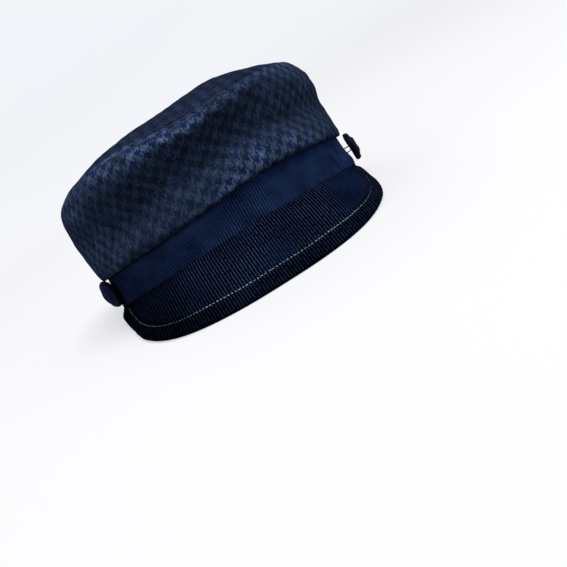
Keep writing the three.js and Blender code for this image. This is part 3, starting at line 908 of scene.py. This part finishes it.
def tip_panel():
    """The oval of cloth: its top, its underside, and the mitred border between them."""
    side = np.linspace(-1, 1, TIP_CELLS + 1)
    x, y = np.meshgrid(side, side, indexing="ij")
    disc_x, disc_y = x * np.sqrt(1 - y * y / 2), y * np.sqrt(1 - x * x / 2)
    angle, radius = np.arctan2(disc_x, -disc_y), np.minimum(np.hypot(disc_x, disc_y), 1)
    seam = wall_point(angle, np.ones_like(angle))
    reach = np.linalg.norm(seam - TIP_TOP, axis=-1)
    share = radius * (1 - SEAM_ROUND / reach)
    points = tip_point(angle, share)
    out = -unit(np.cross(np.gradient(points, axis=0), np.gradient(points, axis=1)))
    out = out * np.sign(out[..., 2:])
    from_seam = (1 - share) * reach
    wave = tip_wave(points, angle * TIP_RADIUS, from_seam)
    top = (points + out * wave[..., None]).reshape(-1, 3)
    under = (points + out * (wave - CLOTH_THICKNESS)[..., None]).reshape(-1, 3)

    # A border of rings joins the two faces round the seam.
    n = TIP_CELLS + 1
    number = np.arange(n * n).reshape(n, n)
    edge = np.concatenate([number[:-1, 0], number[-1, :-1], number[:0:-1, -1], number[0, :0:-1]])
    corner, foot, deep = seam_corner(tip_point, angle.ravel()[edge], TIP_REACH)
    soft = bend(top[edge], corner, foot, BEND_POINTS)
    ring = np.concatenate([soft, foot[:, None], deep[:, None]], axis=1)
    m, rows = ring.shape[:2]
    first_under = n * n + m * rows
    upper, between = grid_faces(n, n)[0], grid_faces(m, rows, (True, False), n * n)[0]
    after = np.roll(np.arange(m), -1)
    start = n * n + np.arange(m) * rows
    last = start + rows - 1
    to_top = np.stack([edge, edge[after], start[after], start], -1)
    to_under = np.stack([last, last[after], first_under + edge[after], first_under + edge], -1)
    faces = np.concatenate([
        upper[:, ::-1], to_top, between[:, ::-1], to_under, upper + first_under,
    ])
    points = np.concatenate([top, ring.reshape(-1, 3), under])
    # On the straight grain the cloth coordinates are simply the plan.
    cloth = points[:, :2] + TIP_CLOTH_START
    wear = np.ones(len(points))
    wear[: n * n] = tip_wear(angle, from_seam).ravel()
    return make_piece(
        "tip_panel", points, faces, cloth[faces], tip_wool_painted_darker, "crown_wool", "crown_tip", wear=wear
    )


tip_panel()

# %% [markdown]
# ## The band
#
# The band is a strip of needlecord with its wales upright, folded under at the rim and
# joined at the centre back. The wales could be left to a bump map, but they show on the
# rolled lower edge and from the side, so they are in the mesh: six columns of points to
# a wale. They lean a little where the strip was pulled while it was sewn.

# %% The pile of the needlecord
STEPS_PER_WALE, WALE_DEPTH = 6, 0.42
# Patches of matted pile and of paler dye: strength, width, seed.
BAND_MATTING, BAND_PATCHES = [(0.5, 24, 51)], [(0.2, 20, 52), (0.15, 7, 57)]


def wale_height(wale, along, seed):
    """The relief of the pile: 0 on top of a wale, 1 in a groove, with an uneven pile."""
    ridge = np.abs(np.sin(np.pi * wale)) ** 0.75
    draw = np.random.default_rng(seed)
    count = int(np.ceil(wale.max())) + 2
    grown = 1 + 0.12 * draw.normal(size=count)[np.floor(wale).astype(int)]
    return (1 - ridge * grown) * (1 + 0.1 * np.sin(along / 2.3 + 3 * np.sin(wale)))


def band_matting(outer, angles, shares):
    """The pile is matted in patches, most of all high on the front."""
    matted = 0.42 + uneven(outer, BAND_MATTING)
    matted = matted + 0.7 * (shares - 0.4) * np.maximum(np.cos(angles), 0)
    return np.clip(matted - 0.3 * smooth(angles, 0.7, 1.1), 0, 0.9)


def band_painted_light(outer, angles, shares):
    """Painted light and shade on the band: darker at the left of the front, with a painted shadow
    beside the left button, lighter on the right, and painted light high on the band under the fold,
    all times patches of paler dye."""
    at_x = np.sin(angles) * np.maximum(np.cos(angles), 0) ** 0.5
    light = mix(0.5, 1.0, smooth(at_x, -0.75, -0.3)) + 0.15 * smooth(at_x, 0.4, 0.7)
    light = light * (1 - 0.88 * bell(turns_apart(angles, -1.41) / 0.22))
    light = light + 0.5 * smooth(shares, 0.45, 0.65) * smooth(at_x, -0.8, 0)
    return light * (1 + uneven(outer, BAND_PATCHES))


# %% The band
BAND_WALES, BAND_LINES, BAND_FOOT = 357, 15, 0.045
# Unevenness of the strip, away from its lower edge and all over: height, width, seed.
BAND_BROAD, BAND_SMALL = [(0.18, 26, 31)], [(0.05, 5, 32)]
# How far a button's thread lifts the cloth, and how wide, in mm.
THREAD_LIFT, THREAD_SPREAD = 1.0, 2.2
# The right button's thread draws the band in, so it stands out a little below.
BAND_SWELLS = [(1.42, 0.2, 0.2, 0.17, 1.5)]
# How the wales lean, in waves round the band: how many, how much in radians, shift.
WALE_LEANS = [(2, 0.012, 0.7), (5, 0.008, 0)]
# Millimetres of band to a radian at the back, where the strip is joined.
BACK_RADIUS = 84.66
# The join is a narrow groove, with a low swell over the ends that are turned in.
JOIN_DEPTH, JOIN_WIDTH, JOIN_LIFT, JOIN_REACH = 0.8, 0.7, 0.25, 7


def band_slack(outer, angles, shares):
    """How far the strip stands out from its plain form, before its wales."""
    slack = uneven(outer, BAND_BROAD) * smooth(shares * BAND_HEIGHT, 0, 6)
    slack = slack + uneven(outer, BAND_SMALL)
    for at_angle, drop, *_ in BUTTONS.values():
        pulled = np.append(around_head(at_angle, 0.0), fold_height(at_angle) - drop)
        away = np.linalg.norm(outer - pulled, axis=-1)
        slack = slack + THREAD_LIFT * bell(away / THREAD_SPREAD)
    return slack + spots(BAND_SWELLS, angles, shares)


def band_ring():
    """The strip as a ring of columns, each of them a closed loop round the cloth."""
    count = BAND_WALES * STEPS_PER_WALE
    angles, length = even_angles(count, -math.pi, math.pi, closed=True)
    angles = angles[:, None]
    wale = np.arange(count)[:, None] / STEPS_PER_WALE
    shares = np.linspace(1, BAND_FOOT, BAND_LINES)[None]
    lean = sum(much * np.sin(angles * waves + shift) for waves, much, shift in WALE_LEANS)
    turned = angles + lean * (shares - 0.1)
    outer, inner = band_point(turned, shares), band_point(turned, shares, BAND_THICKNESS)
    out = unit(outer - inner)
    middle, roll = round_edge(outer, inner, np.array([0, 0, -1.0]) * BAND_THICKNESS / 2)

    matted = band_matting(outer, angles, shares)
    slack = band_slack(outer, angles, shares)
    wale = np.broadcast_to(wale, outer.shape[:2])
    relief = wale_height(wale, along=shares * BAND_HEIGHT, seed=3)
    sunk = WALE_DEPTH * (1 - 0.6 * matted) * relief - 0.1
    seam = np.abs(turns_apart(angles, math.pi)) * BACK_RADIUS
    sunk = sunk + JOIN_DEPTH * bell(seam / JOIN_WIDTH) - seam_lift(seam, JOIN_LIFT, JOIN_REACH)
    outer = outer - out * (sunk - slack)[..., None]
    roll = roll - unit(roll - middle) * sunk[:, -1:, None]
    inner = inner + out * (0.5 * sunk)[..., None]
    loops = np.concatenate([outer, roll, inner[:, ::-1]], axis=1)

    number = np.arange(count + 1)[:, None] / STEPS_PER_WALE
    cloth = np.stack(np.broadcast_arrays(number, down_cloth(loops)[None]), -1)
    more_rows = ((0, 0), (0, loops.shape[1] - BAND_LINES))
    print("a wale of the band takes", round(length / BAND_WALES, 2), "mm")
    return piece_from_loops(
        "band_cord", loops, cloth, True, band_material, "band_cord", "band",
        wear=np.pad(band_painted_light(outer, angles, shares), more_rows, mode="edge"),
        matted=np.pad(matted, more_rows, mode="edge"),
    )


band_ring()

# %% [markdown]
# ## The peak
#
# The peak is a stiff board between two layers of needlecord, whose wales run from the
# band to the edge. A row of topstitching holds the layers and pulls a groove into them,
# 9 mm inside the edge at the front and closer to it towards the ends, and the border
# outside it puffs up a little.
#
# The wales must stay straight and evenly spaced, so the mesh's columns follow them:
# each column lies in one upright plane, at a fixed x, and its points are found on the
# peak's surface by halving an interval. The distance to the real outline then decides
# the rounding of the edge, the groove and the border.

# %% Where the peak's columns lie
PEAK_HALF = PEAK_THICKNESS / 2
STITCH_INSET, STITCH_DRAWN_IN, STITCH_SINK = 8.8, 4.2, 0.5
peak_outline = peak_edge(np.linspace(-1, 1, 1601))


def stitch_inset(x):
    """The topstitch runs closer to the edge towards the ends of the peak."""
    return STITCH_INSET - STITCH_DRAWN_IN * smooth(np.abs(x), 28, 80)


def to_outline(plan):
    """The distance in plan from points to the peak's edge."""
    flat = plan.reshape(-1, 2)
    nearest = np.empty(len(flat))
    for k in range(0, len(flat), 4000):
        apart = flat[k : k + 4000, None] - peak_outline[None]
        nearest[k : k + 4000] = np.sqrt((apart ** 2).sum(-1).min(1))
    return nearest.reshape(plan.shape[:-1])


def last_before(shape, low, high, times, is_before):
    """The last value for which is_before holds, found by halving an interval."""
    low, high = np.full(shape, low), np.full(shape, high)
    for _ in range(times):
        half = (low + high) / 2
        before = is_before(half)
        low, high = np.where(before, half, low), np.where(before, high, half)
    return low


def along_at(x, across):
    """The along value where the peak's surface has this x."""
    return last_before(
        x.shape, -1.0, 1.0, 40, lambda along: peak_middle(along, across)[..., 0] < x
    )


# %% How the peak's pile and its edge lie
# Unevenness of the cover, its matted patches and its paler ones: height, width, seed.
PEAK_WAVES = [(0.15, 20, 41), (0.04, 5, 42)]
PEAK_MATTING, PEAK_PATCHES = [(0.2, 22, 53)], [(0.2, 24, 54)]


def peak_matting(middle, x, from_edge):
    """The pile is matted towards both ends, most of all where a hand takes the peak."""
    matted = 0.9 * smooth(x, 40, 66) + 0.5 * smooth(-x, 30, 70)
    matted = matted + uneven(middle, PEAK_MATTING)
    return np.clip(matted, 0, 0.9) * smooth(from_edge, 6, 10)


def peak_painted_light(middle, x, from_edge):
    """Painted light: darker towards the left end and lighter towards the right end. The cover is
    also darker in the border near the edge, and paler in patches of dye.
    """
    light = mix(0.35, 1.0, smooth(x, -62, -24)) + 0.35 * smooth(x, 45, 70)
    at_border = mix(0.5, 1.0, smooth(from_edge, 6, 9))
    return light * (1 + uneven(middle, PEAK_PATCHES)) * at_border


def edge_swell(x, y):
    """The edge swells out a little, most at the left of the front and at the left end."""
    swell = 0.9 * (1 - smooth(x, 45, 72)) + 1.2 * bell((x + 57) / 14)
    at_left_end = 1.9 * smooth(y, -60, -22) - 1.0 * bell((y + 64) / 22)
    return swell + smooth(-x, 60, 75) * at_left_end


print("the topstitch lies", stitch_inset(0.0), "mm inside the edge at the front")

# %% The covered peak
PEAK_LINES = 78
# The back edge is sewn in behind the band's face.
PEAK_SEWN_IN = 1.1
# How wide the groove of the topstitch is, and how far the border outside it puffs up.
GROOVE_WIDTH, BORDER_PUFF = 0.75, 0.25


def peak_rows():
    """The middle of the peak's thickness, in columns of one x each."""
    end_x = float(peak_middle(1.0, 0.0)[0])
    reach = PEAK_HALF_WIDTH - 0.02
    x = np.linspace(-reach, reach, int(2 * reach / WALE * STEPS_PER_WALE))[:, None]
    start = np.clip((np.abs(x) - end_x) / (PEAK_HALF_WIDTH - end_x), 0, 1)
    ease = np.linspace(0, 1, PEAK_LINES)[None]
    across = mix(start, 1.0, 1 - (1 - ease) ** 1.25)
    sewn = PEAK_SEWN_IN * (1 - smooth(np.abs(x), end_x - 1, end_x))
    x = np.broadcast_to(x, across.shape)
    middle = peak_middle(along_at(x, across), across)
    middle[:, 0] = middle[:, 0] + unit(middle[:, 0] - middle[:, 1]) * sewn
    return x, middle


def peak_cover():
    """Both faces of the peak, joined round its edge. Each column is one closed loop."""
    x, middle = peak_rows()
    from_edge = to_outline(middle[..., :2])
    from_band = np.linalg.norm(middle - middle[:, :1], axis=-1)
    up = unit(np.cross(np.gradient(middle, axis=0), np.gradient(middle, axis=1)))
    up = up * np.sign(up[..., 2:])
    up = unit(mix(np.array([0, 0, 1.0]), up, smooth(from_band, 2, 9)[..., None]))

    # Near the edge the surface turns from up to out, round half the thickness.
    lay = np.clip(PEAK_HALF - from_edge, 0, PEAK_HALF) / PEAK_HALF
    stand = np.sqrt(1 - lay ** 2)
    power = PEAK_SQUARENESS - 1
    out_x = np.sign(x) * (np.abs(x) / PEAK_HALF_WIDTH) ** power / PEAK_HALF_WIDTH
    out_y = -(np.abs(middle[..., 1] - PEAK_CENTRE_Y) / PEAK_REACH) ** power / PEAK_REACH
    out = unit(np.stack([out_x, out_y, np.zeros(x.shape)], -1))

    wale = (x + 100) / WALE
    matted = peak_matting(middle, x, from_edge)
    sunk = WALE_DEPTH * (1 - 0.5 * matted) * wale_height(wale, along=middle[..., 1], seed=9)
    held = smooth(from_band, 2, 10)
    inset = stitch_inset(x)
    stitched = bell((from_edge - inset) / GROOVE_WIDTH) * held
    border = BORDER_PUFF * np.sin(np.pi * np.clip(from_edge / inset, 0, 1)) * held
    lift = border + uneven(middle, PEAK_WAVES) * smooth(from_edge, 0, 5) - sunk
    lift = lift - STITCH_SINK * stitched + edge_swell(x, middle[..., 1]) * lay
    top, under = [
        middle + up * (sign * PEAK_HALF * stand)[..., None]
        + (up * sign * stand[..., None] + out * lay[..., None]) * lift[..., None]
        for sign in (1, -1)
    ]

    def both_faces(a):
        return np.concatenate([a[0], a[1][:, ::-1][:, 1:]], axis=1)

    loops = both_faces((top, under))
    light = peak_painted_light(middle, x, from_edge)
    fall = np.abs(loops[..., 1] + 150)
    cloth = np.stack([np.broadcast_to(wale[:, :1], fall.shape), fall], -1)
    cloth = np.concatenate([cloth, cloth[:, :1]], axis=1)
    print("the peak has", round(np.ptp(wale)), "wales and", loops.shape[1], "points to a column")
    return piece_from_loops(
        "peak_cover", loops, cloth, False, peak_material_painted_darker, "peak_cord", "peak",
        wear=both_faces((light, light)), matted=both_faces((matted, matted)),
    )


peak_cover()

# %% [markdown]
# ## Topstitching
#
# A lockstitch shows as a row of short stitches with small gaps, where the thread dives
# into the cloth. Each is modelled as a bent grain of thread: thick in the middle and
# drawn under at both ends. The same row shows under the peak.

# %% Lines and tubes of thread
def stitch_line(sign):
    """Points and upward directions of the topstitch line, over or under the peak."""
    along = np.linspace(-0.97, 0.97, 900)

    def is_before(across):
        plan = peak_middle(along, across)[:, :2]
        return to_outline(plan) > stitch_inset(plan[:, 0])

    across = last_before(along.shape, 0.0, 1.0, 14, is_before)
    line, keep = peak_middle(along, across), across > 0.06
    up = square_to(peak_middle, np.clip(along, -0.998, 0.998), across)
    up = up * np.sign(up[:, 2:]) * sign
    return line[keep] + up[keep] * (PEAK_HALF - STITCH_SINK - 0.05), up[keep]


def thread_tubes(paths, ups, radii, sides=8):
    """Tubes along paths (pieces, steps, 3), with a radius at each step, closed at the ends."""
    pieces, steps = paths.shape[:2]
    ahead = unit(np.gradient(paths, axis=1))
    aside = unit(np.cross(ahead, ups))
    ups = np.cross(aside, ahead)
    turn = np.linspace(0, 2 * np.pi, sides, endpoint=False).reshape(1, 1, -1, 1)
    ring = np.cos(turn) * aside[:, :, None] + np.sin(turn) * ups[:, :, None]
    points = paths[:, :, None] + ring * radii[..., None, None]
    first, last = np.arange(sides), np.arange(sides) + (steps - 1) * sides
    one = np.concatenate([
        grid_faces(steps, sides, (False, True))[0], zip_end(first), zip_end(last)[:, ::-1],
    ])
    faces = one[None] + np.arange(pieces).reshape(-1, 1, 1) * steps * sides
    run = np.arange(steps).reshape(1, -1, 1) * 0.25
    round_it = np.linspace(0, 1, sides).reshape(1, 1, -1)
    cloth = np.stack([np.broadcast_to(a, points.shape[:3]) for a in (run, round_it)], -1)
    return points.reshape(-1, 3), faces.reshape(-1, 4), cloth.reshape(-1, 2)


# %% The topstitch
STITCH_PITCH, STITCH_HALF, STITCH_RADIUS, STITCH_STEPS = 2.2, 0.72, 0.19, 9
# How high a stitch arches, how deep its ends go in, and how much deeper under the pile.
STITCH_ARCH, STITCH_DIVE, STITCH_BURY = 0.5, 0.28, 0.15


def stitch_row(sign, draw):
    """One row of stitches, drawn at random a little off their places, lengths and sizes."""
    line, up = stitch_line(sign)
    run = np.append(0, np.cumsum(np.linalg.norm(np.diff(line, axis=0), axis=1)))
    count = int(run[-1] / STITCH_PITCH)
    middle = (np.arange(count)[:, None] + 0.5) * run[-1] / count
    middle = middle + 0.12 * draw.normal(size=(count, 1))
    steps = np.linspace(-1, 1, STITCH_STEPS)[None]
    at = middle + steps * (STITCH_HALF + 0.08 * draw.normal(size=(count, 1)))
    path, lift = [
        np.stack([np.interp(at, run, of[:, k]) for k in range(3)], -1) for of in (line, up)
    ]
    at_x = np.interp(middle, run, line[:, 0])
    # Towards both ends of the peak the pile closes over the stitches.
    buried = 0.8 * smooth(-at_x, 36, 58) + smooth(at_x, 50, 72)
    arch = STITCH_ARCH * (1 - np.abs(steps) ** 2.5) - STITCH_DIVE - STITCH_BURY * buried
    arch = arch + uneven(path, PEAK_WAVES)
    path = path + lift * (arch + 0.05 * draw.normal(size=(count, 1)))[..., None]
    plump = 1 + 0.1 * draw.normal(size=(count, 1))
    size = STITCH_RADIUS * (1 - np.abs(steps) ** 4 * 0.75) * plump
    points, faces, cloth = thread_tubes(path, unit(lift), size)
    print("a row of", count, "stitches,", round(run[-1]), "mm long")
    return points, faces, cloth, np.repeat(buried.ravel(), len(points) // count)


def topstitch():
    """The row over the peak and the row under it, as one piece."""
    draw = np.random.default_rng(77)
    over, below = [stitch_row(sign, draw) for sign in (1, -1)]
    below = (below[0], below[1] + len(over[0]), *below[2:])
    points, faces, cloth, buried = [np.concatenate(pair) for pair in zip(over, below)]
    return make_piece(
        "peak_topstitch", points, faces, cloth[faces], mint_thread, "button_thread", buried=buried
    )


topstitch()

# %% [markdown]
# ## Covered buttons
#
# A covered button is a domed metal shell with cloth drawn over it and tucked in behind.
# These have a soft raised rim and a rounder middle, which gives the three lobes that
# their outline shows. A turned section gives the shape, and the gathers at the rim and
# the slight slackness of the cloth are pushed into its points.

# %% The covered buttons
BUTTON_SIDES, BUTTON_LINES, BUTTON_BACK_LINE = 96, 46, 27
# The turned section, from the middle of the face to the middle of the back: radius, height.
BUTTON_SECTION = np.array([
    [0.3, 4.6], [1.2, 4.75], [2.2, 5.1], [3.2, 5.35], [4.2, 5.35], [5.1, 5.0], [5.9, 4.5],
    [6.6, 4.05], [7.3, 3.85], [8.0, 3.75], [8.6, 3.35], [9.05, 2.6], [9.2, 1.7], [9.05, 0.9],
    [8.5, 0.3], [7.2, 0.2], [5.0, 0.4], [2.5, 0.4], [0.3, 0.4],
])
# Where a cover is creased from side to side, above the button's middle.
BUTTON_CREASES = {"left": [], "right": [5.4, -0.3]}
# The gathers round the rim, which lies at this radius: how many, how deep, their shift.
RIM_RADIUS, RIM_SPREAD = 9.0, 1.6
RIM_GATHERS = [(17, 0.1, 1), (29, 0.06, 2)]
CREASE_DEPTH, CREASE_WIDTH = 0.55, 0.9
# Keeps the cover's cloth coordinates above nought, in mm.
COVER_START = 30


def button_frame(side):
    """Where a button sits: its centre at the band, outwards, along the band and up."""
    angle, drop, stand_off, turn, lean = BUTTONS[side]
    plan = around_head(angle, stand_off)
    out = unit(around_head(angle, 1.0) - around_head(angle, 0.0))
    out = unit(np.array([out[0] * math.cos(turn) - out[1] * math.sin(turn),
                         out[0] * math.sin(turn) + out[1] * math.cos(turn), -math.tan(lean)]))
    centre = np.append(plan, fold_height(angle) - drop)
    along = unit(np.array([-out[1], out[0], 0.0]))
    return centre, out, along, np.cross(out, along), stand_off


def covered_button(side, seed):
    """The cloth of one button, turned round its axis. seed places its gathers."""
    centre, out, along, up, _ = button_frame(side)
    fine = np.linspace(0, len(BUTTON_SECTION) - 1, BUTTON_LINES)
    table = np.column_stack([np.arange(len(BUTTON_SECTION)), BUTTON_SECTION])
    radius, height = [through(table, fine, column)[None] for column in (1, 2)]
    turn = np.linspace(0, 2 * np.pi, BUTTON_SIDES, endpoint=False)[:, None]
    rim = bell((radius - RIM_RADIUS) / RIM_SPREAD)
    gathers = sum(deep * np.sin(turn * many + k * seed) for many, deep, k in RIM_GATHERS)
    radius = radius + rim * gathers * (height < 2.6)
    height = height + 0.12 * np.sin(turn * 3 + seed) * smooth(radius, 1, 7)
    points = (
        centre
        + out * height[..., None]
        + along * (radius * np.cos(turn))[..., None]
        + up * (radius * np.sin(turn))[..., None]
    )
    slack = 0.1 * bumps(points, 4, seed) * smooth(radius, 0.5, 3)
    for crease in BUTTON_CREASES[side]:
        folded = bell((radius * np.sin(turn) - crease) / CREASE_WIDTH)
        slack = slack - CREASE_DEPTH * folded * smooth(height, 2, 3.4)
    points = points + out * slack[..., None]
    # Painted shade: the cover is darker round its side and back, towards the band.
    face = np.broadcast_to(0.2 + 0.8 * smooth(height, 2.2, 4.6), points.shape[:2])
    faces, _ = grid_faces(BUTTON_SIDES, BUTTON_LINES, (True, False))
    front = np.arange(BUTTON_SIDES) * BUTTON_LINES
    back = front + BUTTON_LINES - 1
    faces = np.concatenate([faces, zip_end(front)[:, ::-1], zip_end(back)])
    flat = np.stack([radius * np.cos(turn), radius * np.sin(turn)], -1) + COVER_START
    behind = np.arange(BUTTON_LINES)[None, :, None] > BUTTON_BACK_LINE
    cloth = np.where(behind, 2 * COVER_START - flat, flat).reshape(-1, 2)
    return make_piece(
        f"button_{side}_cover", points.reshape(-1, 3), faces, cloth[faces],
        button_material, "button_cloth", f"button_{side}", wear=face.ravel(),
    )


# %% The buttons' threads
# How high over the middle and how far aside of it each strand of thread leaves the button.
STRANDS = [(1.75, 0.3), (1.6, -0.3), (-1.6, 0.3), (-1.75, -0.3)]
STRAND_RADIUS, STRAND_SAG, STRAND_ANCHOR, STRAND_SIDES = 0.2, 0.3, 0.9, 10


def button_threads(side, seed):
    """The strands of one button, each sagging a little, from its back into the band."""
    centre, out, along, up, stand_off = button_frame(side)
    draw = np.random.default_rng(seed)
    steps = np.linspace(0, 1, 14)[:, None]
    strands = []
    for high, wide in STRANDS:
        start = centre + out * STRAND_ANCHOR + up * high * 0.8 + along * wide
        end = centre - out * (stand_off + STRAND_ANCHOR) + up * high + along * wide * 1.4
        sag = STRAND_SAG * draw.uniform(0.3, 1, size=2)
        path = mix(start, end, steps) - up * sag[0] * np.sin(np.pi * steps)
        strands.append(path + along * (sag[1] - 0.2) * np.sin(np.pi * steps))
    paths = np.stack(strands)
    radii = np.full(paths.shape[:2], STRAND_RADIUS)
    points, faces, cloth = thread_tubes(
        paths, np.broadcast_to(up, paths.shape), radii, STRAND_SIDES
    )
    return make_piece(
        f"button_thread_{side}", points, faces, cloth[faces],
        navy_thread, "button_thread", f"button_shank_{side}", buried=np.zeros(len(points)),
    )


for seed, side in enumerate(("left", "right"), start=3):
    covered_button(side, seed)
    button_threads(side, seed)

# %% [markdown]
# ## Floor, light and camera
#
# The floor and the backdrop are one sweep of matt white paper, a wide shallow bowl, so
# that no edge or horizon shows from any side. The light is plain and soft: one large
# soft box high on the cap's right, a weaker one in front and one behind, under an even
# white sky.

# %% The paper sweep, in metres
PAPER_FLAT, PAPER_BEND, PAPER_TOP, PAPER_SIDES = 1.2, 1.0, 2.6, 96
# The paper glows by itself, more the farther it is from the cap, so the backdrop is evenly bright.
# Each row is a distance and a glow.
PAPER_GLOW = [(0.6, 0.58), (2.2, 0.81)]


def white_paper():
    """Matt paper that glows a little by itself, most of all far from the cap."""
    material, tree = new_tree("matt_white_paper")
    grain = add(tree, "TexNoise", {"Scale": 3.0, "Detail": 2.0})
    shade = add(tree, "Mix", {
        0: grain, 6: colour("#989693"), 7: colour("#9c9a97"),
    }, data_type="RGBA")
    place = add(tree, "TexCoord").outputs["Object"]
    away = add(tree, "VectorMath", {0: place}, operation="LENGTH").outputs["Value"]
    (near, dim), (far, bright) = PAPER_GLOW
    return finish_material(material, tree, {
        "Roughness": 0.9,
        "Specular IOR Level": 0.0,
        "Emission Color": colour("#f4f6fc"),
        "Base Color": shade.outputs[2],
        "Emission Strength": add(tree, "MapRange", {
            0: away, 1: near, 2: far, 3: dim, 4: bright,
        }, interpolation_type="SMOOTHSTEP"),
    })


def paper_sweep():
    """A bowl of paper: flat under the cap, then bent up into a wall all round."""
    curve = np.linspace(0, np.pi / 2, 16)
    flat = np.column_stack([np.linspace(0.001, PAPER_FLAT, 12), np.zeros(12)])
    bent = np.column_stack([
        PAPER_FLAT + PAPER_BEND * np.sin(curve), PAPER_BEND * (1 - np.cos(curve)),
    ])
    top = np.array([[PAPER_FLAT + PAPER_BEND, PAPER_TOP]])
    section = np.concatenate([flat, bent[1:], top])
    turn = np.linspace(0, 2 * np.pi, PAPER_SIDES, endpoint=False)[:, None]
    points = np.stack(np.broadcast_arrays(
        section[:, 0] * np.cos(turn), section[:, 0] * np.sin(turn), section[None, :, 1]
    ), -1)
    mesh = bpy.data.meshes.new("paper_sweep")
    faces = grid_faces(PAPER_SIDES, len(section), (True, False))[0]
    middle = zip_end(np.arange(PAPER_SIDES) * len(section))[:, ::-1]
    faces = np.concatenate([faces, middle])
    mesh.from_pydata(points.reshape(-1, 3).tolist(), [], faces.tolist())
    mesh.polygons.foreach_set("use_smooth", np.ones(len(faces), bool))
    mesh.materials.append(white_paper())
    sweep = bpy.data.objects.new("paper_sweep", mesh)
    bpy.context.collection.objects.link(sweep)
    # The sweep lights itself and nothing else, so that it can't wash out the folds.
    sweep.visible_diffuse = False


paper_sweep()
print("the paper is", 2 * (PAPER_FLAT + PAPER_BEND), "m across")

# %% Soft boxes
CAP_MIDDLE = Vector((0.0, 0.0, 0.05))
# Where each box stands and how wide it is, in metres, and its power in watts.
SOFT_BOXES = {
    "key": ((0.25, -0.4, 1.2), 0.7, 14.0),
    "low_right": ((1.1, -0.8, 0.25), 0.6, 1.5),
    "left": ((-1.2, -0.5, 0.5), 0.7, 4.0),
    "back": ((-0.3, 1.1, 0.9), 0.8, 5.0),
}

for name, (place, size, watts) in SOFT_BOXES.items():
    data = bpy.data.lights.new(name, "AREA")
    data.shape, data.size, data.energy = "DISK", size, watts
    lamp = bpy.data.objects.new(name, data)
    lamp.location = place
    lamp.rotation_mode = "QUATERNION"
    lamp.rotation_quaternion = (CAP_MIDDLE - Vector(place)).to_track_quat("-Z", "Y")
    bpy.context.collection.objects.link(lamp)
    print("soft box:", name, watts, "W")

# %% The sky
SKY_LOW, SKY_HIGH = 0.12, 0.6
world = bpy.data.worlds.new("white_sky")
world.use_nodes = True
sky = world.node_tree
background = sky.nodes["Background"]
background.inputs["Color"].default_value = colour("#f1f5ff")
way = add(sky, "TexCoord").outputs["Generated"]
height = add(sky, "SeparateXYZ", {0: way}).outputs[2]
glow = add(sky, "MapRange", {
    0: height, 1: -0.2, 2: 0.9, 3: SKY_LOW, 4: SKY_HIGH,
}, interpolation_type="SMOOTHSTEP")
sky.links.new(glow.outputs[0], background.inputs["Strength"])
bpy.context.scene.world = world
bpy.context.scene.view_settings.view_transform = "Standard"
print("the sky glows from", SKY_LOW, "below to", SKY_HIGH, "above")

# %% [markdown]
# The camera stands in front of the cap, a little above the peak, and is rolled by 31
# degrees, because the cap lies tilted in the photograph. Its lens and its place came
# from matching the cap's outline.

# %% The camera
CAMERA_PLACE = (-34.82, -624.75, 121.31)
CAMERA_AIM = (6.47, 5.68, -31.52)
CAMERA_ROLL = math.radians(-31.289)
camera_data = bpy.data.cameras.new("camera")
camera_data.lens, camera_data.sensor_width = 65.326, 36.0
camera = bpy.data.objects.new("camera", camera_data)
camera.location = Vector(CAMERA_PLACE) * MM
looks = (Vector(CAMERA_AIM) - Vector(CAMERA_PLACE)).to_track_quat("-Z", "Y")
camera.rotation_mode = "QUATERNION"
camera.rotation_quaternion = looks @ Quaternion((0, 0, 1), CAMERA_ROLL)
bpy.context.collection.objects.link(camera)
bpy.context.scene.camera = camera
print("the camera stands", round((Vector(CAMERA_PLACE) - Vector(CAMERA_AIM)).length), "mm away")
